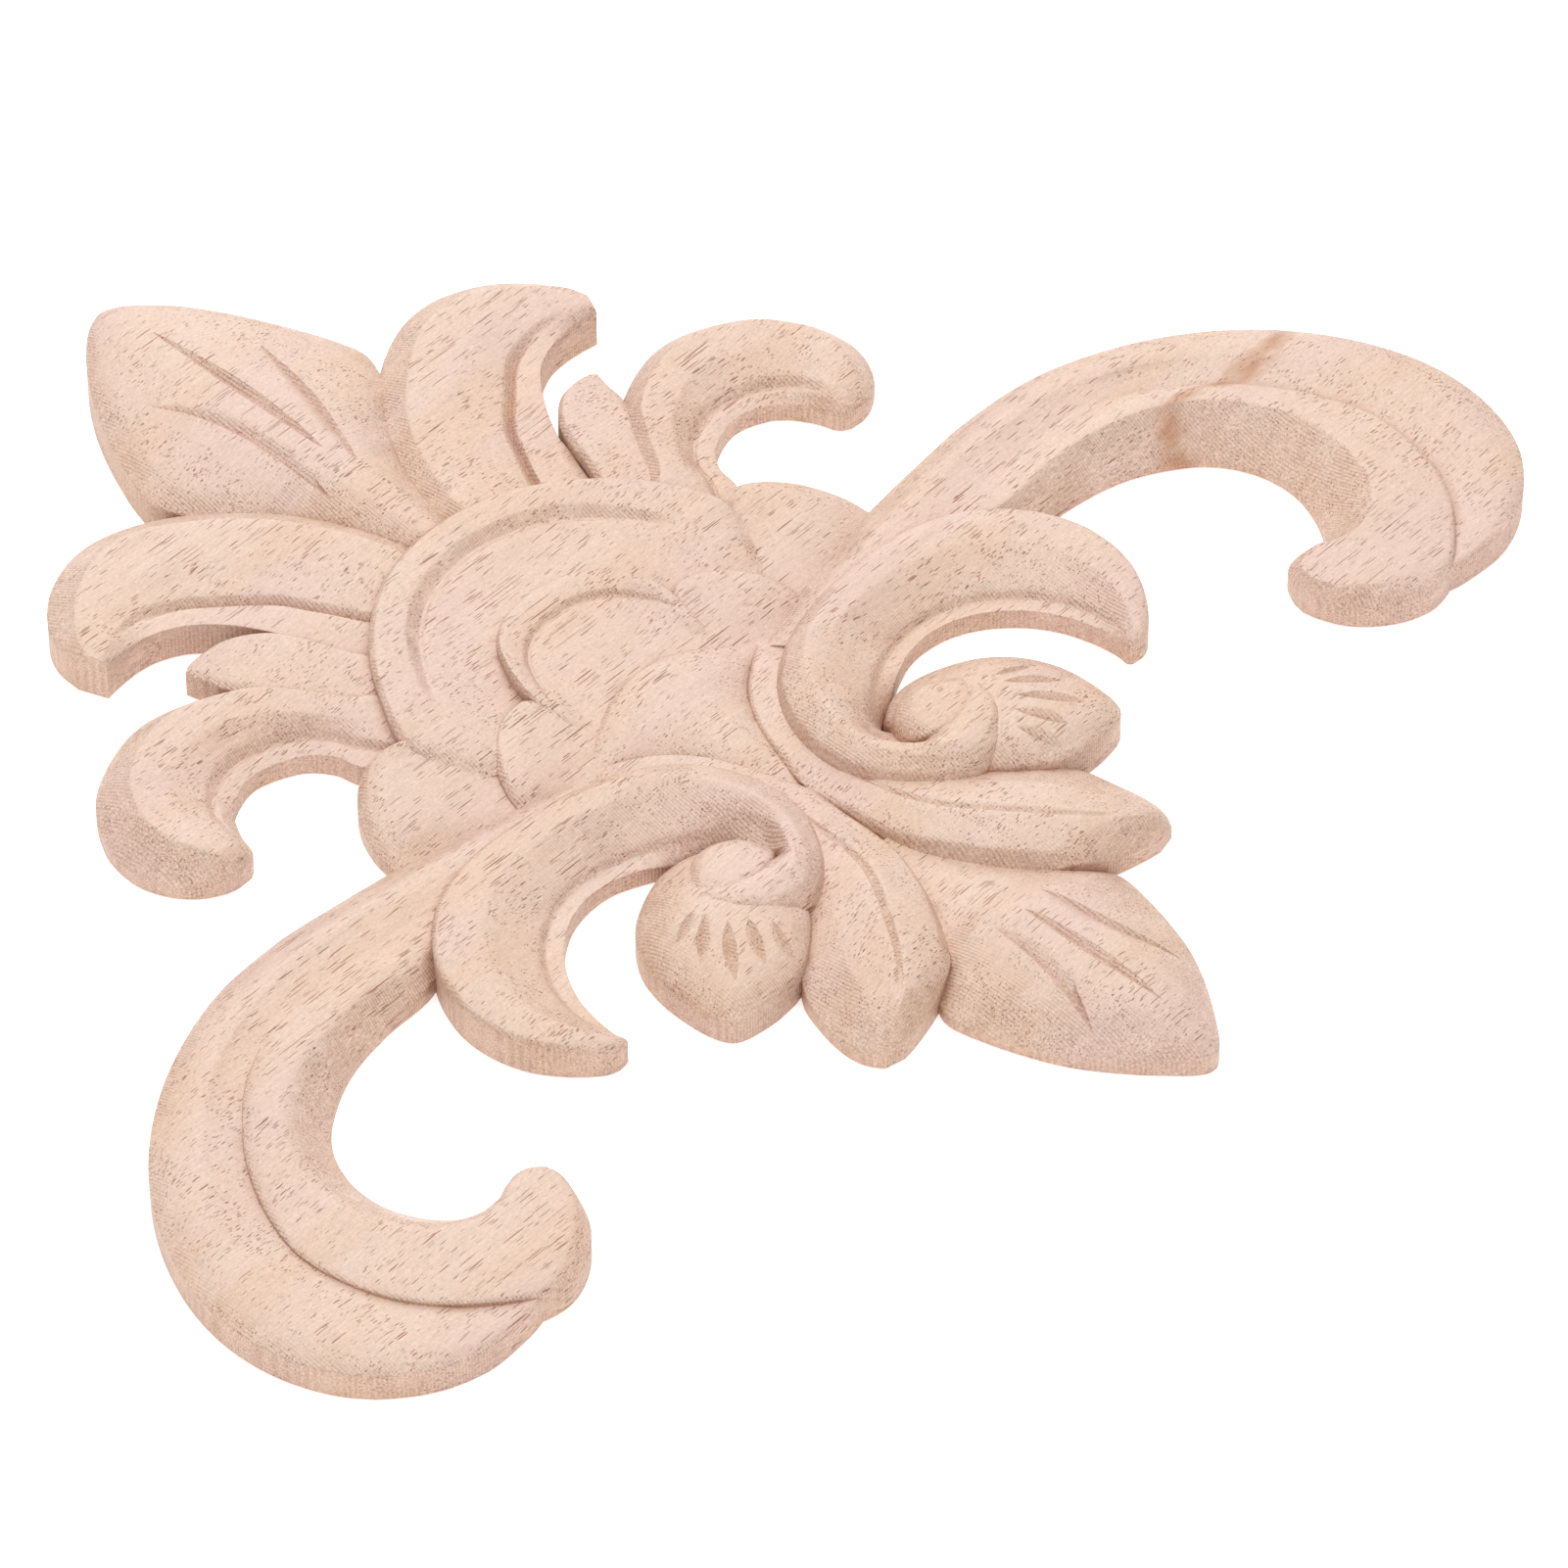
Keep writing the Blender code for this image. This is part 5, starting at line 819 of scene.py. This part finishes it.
def wood_group():
    """Colour, roughness and height of the wood from Object coordinates, with painted shade in the hollows."""
    tree = bpy.data.node_groups.new("rubberwood", "ShaderNodeTree")
    for name in ("Pore Depth", "Tool Depth"):
        tree.interface.new_socket(name, in_out="INPUT", socket_type="NodeSocketFloat")
    tree.interface.new_socket("Color", in_out="OUTPUT", socket_type="NodeSocketColor")
    for name in ("Roughness", "Height"):
        tree.interface.new_socket(name, in_out="OUTPUT", socket_type="NodeSocketFloat")
    nodes = tree.nodes
    links = tree.links
    given = nodes.new("NodeGroupInput")
    leave = nodes.new("NodeGroupOutput")
    place = nodes.new("ShaderNodeTexCoord")

    def feed(socket, value):
        """Sets a constant on the socket, or links a node's output to it."""
        if isinstance(value, (int, float, tuple)):
            socket.default_value = value
        else:
            links.new(value, socket)

    def math_node(operation, a, b):
        node = nodes.new("ShaderNodeMath")
        node.operation = operation
        feed(node.inputs[0], a)
        feed(node.inputs[1], b)
        return node.outputs[0]

    def times(a, b):
        return math_node("MULTIPLY", a, b)

    def scaled(value, factor, base):
        return math_node("ADD", times(value, factor), base)

    def stretched(along, across, offset):
        mapping = nodes.new("ShaderNodeMapping")
        mapping.inputs["Scale"].default_value = (along / MM, across / MM, across / MM)
        mapping.inputs["Location"].default_value = [offset * share for share in OFFSET_SHARES]
        links.new(place.outputs["Object"], mapping.inputs["Vector"])
        return mapping.outputs["Vector"]

    def noise(pattern):
        along, across, offset, detail, roughness, bend = pattern
        node = nodes.new("ShaderNodeTexNoise")
        node.inputs["Scale"].default_value = 1.0
        node.inputs["Detail"].default_value = detail
        node.inputs["Roughness"].default_value = roughness
        node.inputs["Distortion"].default_value = bend
        links.new(stretched(along, across, offset), node.inputs["Vector"])
        return node.outputs["Fac"]

    def ramp(value, span, smooth=True):
        node = nodes.new("ShaderNodeMapRange")
        node.interpolation_type = "SMOOTHSTEP" if smooth else "LINEAR"
        node.inputs["From Min"].default_value = span[0]
        node.inputs["From Max"].default_value = span[1]
        links.new(value, node.inputs["Value"])
        return node.outputs["Result"]

    def blend(factor, a, b, kind="MIX"):
        node = nodes.new("ShaderNodeMix")
        node.data_type = "RGBA"
        node.blend_type = kind
        feed(node.inputs[0], factor)
        feed(node.inputs[6], a)
        feed(node.inputs[7], b)
        return node.outputs[2]

    def tinted(colour, tint):
        return blend(1.0, colour, tint, "MULTIPLY")

    def grey(value):
        node = nodes.new("ShaderNodeCombineColor")
        for socket in node.inputs:
            links.new(value, socket)
        return node.outputs["Color"]

    def streak(centre, half_length, half_width, turn):
        """How far inside an oval on the plan each point lies, most at its centre."""
        mapping = nodes.new("ShaderNodeMapping")
        mapping.vector_type = "TEXTURE"
        mapping.inputs["Location"].default_value = (centre[0] * MM, centre[1] * MM, 0.0)
        mapping.inputs["Rotation"].default_value = (0.0, 0.0, turn)
        mapping.inputs["Scale"].default_value = (half_length * MM, half_width * MM, 1.0)
        links.new(place.outputs["Object"], mapping.inputs["Vector"])
        length = nodes.new("ShaderNodeVectorMath")
        length.operation = "LENGTH"
        links.new(mapping.outputs["Vector"], length.inputs[0])
        return math_node("SUBTRACT", STREAK_REACH, length.outputs["Value"])

    normal = nodes.new("ShaderNodeSeparateXYZ")
    links.new(place.outputs["Normal"], normal.inputs["Vector"])
    steep = math_node("SUBTRACT", 1.0, normal.outputs["Z"])

    fibres = noise(FIBRES)
    speckle = noise(SPECKLE)
    colour = blend(ramp(noise(BANDS), BAND_RANGE), PALE_WOOD, WARM_WOOD)
    colour = blend(times(ramp(noise(BLUSH), BLUSH_RANGE), BLUSH_SHARE), colour, PINK_WOOD)
    speckle_size = scaled(ramp(steep, SPECKLE_SLOPES), *SPECKLE_SHADE)
    speckle_shade = times(math_node("SUBTRACT", speckle, NOISE_MIDDLE), speckle_size)
    shade = math_node("ADD", scaled(fibres, *FIBRE_SHADE), times(speckle_shade, SPECKLE_SPAN))
    colour = tinted(colour, grey(shade))
    colour = blend(ramp(steep, WALL_SLOPES), colour, tinted(colour, WALL_TINT))

    knot = None
    for streak_shape in KNOT_STREAKS:
        near = streak(*streak_shape)
        knot = near if knot is None else math_node("MAXIMUM", knot, near)
    knot = math_node("ADD", knot, times(noise(KNOT_WAVER), WAVER_SIZE))
    colour = blend(times(ramp(knot, STREAK_RANGE), STREAK_SHARE), colour, KNOT_WOOD)
    colour = blend(times(ramp(knot, STREAK_CORE_RANGE), STREAK_CORE_SHARE), colour, KNOT_WOOD)

    crowd = scaled(ramp(noise(PORE_CROWD), CROWD_RANGE), *CROWD_SIZE)
    pore_mask = None
    for length, width, reach, density, offset in PORE_LAYERS:
        cells = nodes.new("ShaderNodeTexVoronoi")
        cells.inputs["Scale"].default_value = 1.0
        links.new(stretched(1 / length, 1 / width, offset), cells.inputs["Vector"])
        dice = nodes.new("ShaderNodeSeparateColor")
        links.new(cells.outputs["Color"], dice.inputs["Color"])
        size = times(ramp(dice.outputs["Red"], (1.0 - density, 1.0), False), reach)
        inside = math_node("SUBTRACT", times(size, crowd), cells.outputs["Distance"])
        mask = times(ramp(inside, PORE_RIM_RANGE), scaled(dice.outputs["Green"], *PORE_DARKNESS))
        pore_mask = mask if pore_mask is None else math_node("MAXIMUM", pore_mask, mask)
    colour = blend(times(pore_mask, PORE_SHARE), colour, PORE_WOOD)

    # Painted shade: the hollows darken by the share of sky the carving hides, and the tool's steps show more
    # there.
    painted_shade = nodes.new("ShaderNodeAttribute")
    painted_shade.attribute_name = "hollow_shade"
    steps = nodes.new("ShaderNodeTexWave")
    steps.wave_type = "BANDS"
    steps.bands_direction = "X"
    steps.inputs["Scale"].default_value = WAVE_LENGTH / (TOOL_PITCH * MM)
    links.new(place.outputs["Object"], steps.inputs["Vector"])
    step_size = times(ramp(steep, STEP_SLOPES), ramp(noise(STEP_PATCHES), PATCH_RANGE))
    step_size = math_node("MAXIMUM", step_size, times(painted_shade.outputs["Fac"], STEPS_IN_SHADE))
    step_mark = times(steps.outputs["Fac"], step_size)
    # The tool's steps darken the wood, and in the hollows the steps and the whole surface darken further as
    # painted shade.
    colour = blend(times(step_mark, STEP_SHARE), colour, tinted(colour, SHADE_AND_STEP_TINT))
    colour = blend(painted_shade.outputs["Fac"], colour, tinted(colour, SHADE_AND_STEP_TINT))
    links.new(colour, leave.inputs["Color"])

    height = times(step_mark, given.outputs["Tool Depth"])
    height = math_node("SUBTRACT", height, times(pore_mask, given.outputs["Pore Depth"]))
    height = math_node("ADD", height, times(fibres, FIBRE_DEPTH * MM))
    height = math_node("ADD", height, times(speckle, SPECKLE_DEPTH * MM))
    links.new(height, leave.inputs["Height"])
    links.new(scaled(pore_mask, PORE_ROUGHNESS, WOOD_ROUGHNESS), leave.inputs["Roughness"])
    return tree


wood = bpy.data.materials.new("carved_wood")
wood.use_nodes = True
shader = wood.node_tree.nodes["Principled BSDF"]
grain = wood.node_tree.nodes.new("ShaderNodeGroup")
grain.node_tree = wood_group()
grain.inputs["Pore Depth"].default_value = PORE_DEPTH * MM
grain.inputs["Tool Depth"].default_value = TOOL_DEPTH * MM
relief = wood.node_tree.nodes.new("ShaderNodeBump")
relief.inputs["Distance"].default_value = 1.0
wood_links = wood.node_tree.links
wood_links.new(grain.outputs["Color"], shader.inputs["Base Color"])
wood_links.new(grain.outputs["Roughness"], shader.inputs["Roughness"])
wood_links.new(grain.outputs["Height"], relief.inputs["Height"])
wood_links.new(relief.outputs["Normal"], shader.inputs["Normal"])
shader.inputs["Specular IOR Level"].default_value = WOOD_SHINE
carving.data.materials.clear()
carving.data.materials.append(wood)

# The setting. The carving lies on a plain white table that glows a little, as in a lit product photo,
# under soft lights from above, behind and in front, and the camera looks down from the lower left.
FLOOR_HALF = 1.6
FLOOR_DROP = 0.0002
FLOOR_COLOUR = (0.95, 0.95, 0.95, 1.0)
FLOOR_ROUGHNESS = 0.9
FLOOR_GLOW = 0.42
WHITE_LIGHT = (1.0, 1.0, 1.0, 1.0)
STUDIO_LIGHT = 0.64
floor_mesh = bpy.data.meshes.new("floor")
quarters = [(-1, -1), (1, -1), (1, 1), (-1, 1)]
corners = [(x * FLOOR_HALF, y * FLOOR_HALF, -FLOOR_DROP) for x, y in quarters]
floor_mesh.from_pydata(corners, [], [(0, 1, 2, 3)])
floor = bpy.data.objects.new("floor", floor_mesh)
bpy.context.scene.collection.objects.link(floor)
floor_paint = bpy.data.materials.new("floor_paint")
floor_paint.use_nodes = True
floor_shader = floor_paint.node_tree.nodes["Principled BSDF"]
floor_shader.inputs["Base Color"].default_value = FLOOR_COLOUR
floor_shader.inputs["Roughness"].default_value = FLOOR_ROUGHNESS
floor_shader.inputs["Emission Color"].default_value = WHITE_LIGHT
floor_shader.inputs["Emission Strength"].default_value = FLOOR_GLOW
floor_mesh.materials.append(floor_paint)

world = bpy.data.worlds.new("studio")
world.use_nodes = True
world.node_tree.nodes["Background"].inputs["Color"].default_value = WHITE_LIGHT
world.node_tree.nodes["Background"].inputs["Strength"].default_value = STUDIO_LIGHT
bpy.context.scene.world = world
bpy.context.scene.view_settings.view_transform = "Standard"


def area_light(name, position, size, power):
    """Soft square light turned to the middle of the carving."""
    data = bpy.data.lights.new(name, "AREA")
    data.size = size
    data.energy = power
    lamp = bpy.data.objects.new(name, data)
    lamp.location = position
    lamp.rotation_euler = (-Vector(position)).to_track_quat("-Z", "Y").to_euler()
    bpy.context.scene.collection.objects.link(lamp)


area_light("top_light", (0.12, 0.15, 1.2), 1.1, 10.0)
area_light("back_light", (0.7, 0.8, 0.6), 0.6, 3.6)
area_light("front_light", (-0.8, -0.7, 0.7), 0.8, 2.2)

CAMERA_TURN = math.radians(-47.65)
CAMERA_RISE = math.radians(45.0)
CAMERA_DISTANCE = 1.1508
CAMERA_AIM = Vector((0.00118, -0.0253, 0.0))
FOCAL_PIXELS = 9000.0
IMAGE_PIXELS = 1601.0
SENSOR_WIDTH = 36.0
NEAREST_SEEN = 0.01
camera_data = bpy.data.cameras.new("camera")
camera_data.sensor_width = SENSOR_WIDTH
camera_data.lens = SENSOR_WIDTH * FOCAL_PIXELS / IMAGE_PIXELS
camera_data.clip_start = NEAREST_SEEN
camera = bpy.data.objects.new("camera", camera_data)
bpy.context.scene.collection.objects.link(camera)
level = math.cos(CAMERA_RISE)
away = Vector((math.sin(CAMERA_TURN) * level, -math.cos(CAMERA_TURN) * level, math.sin(CAMERA_RISE)))
camera.location = CAMERA_AIM + away * CAMERA_DISTANCE
camera.rotation_euler = away.to_track_quat("Z", "Y").to_euler()
bpy.context.scene.camera = camera
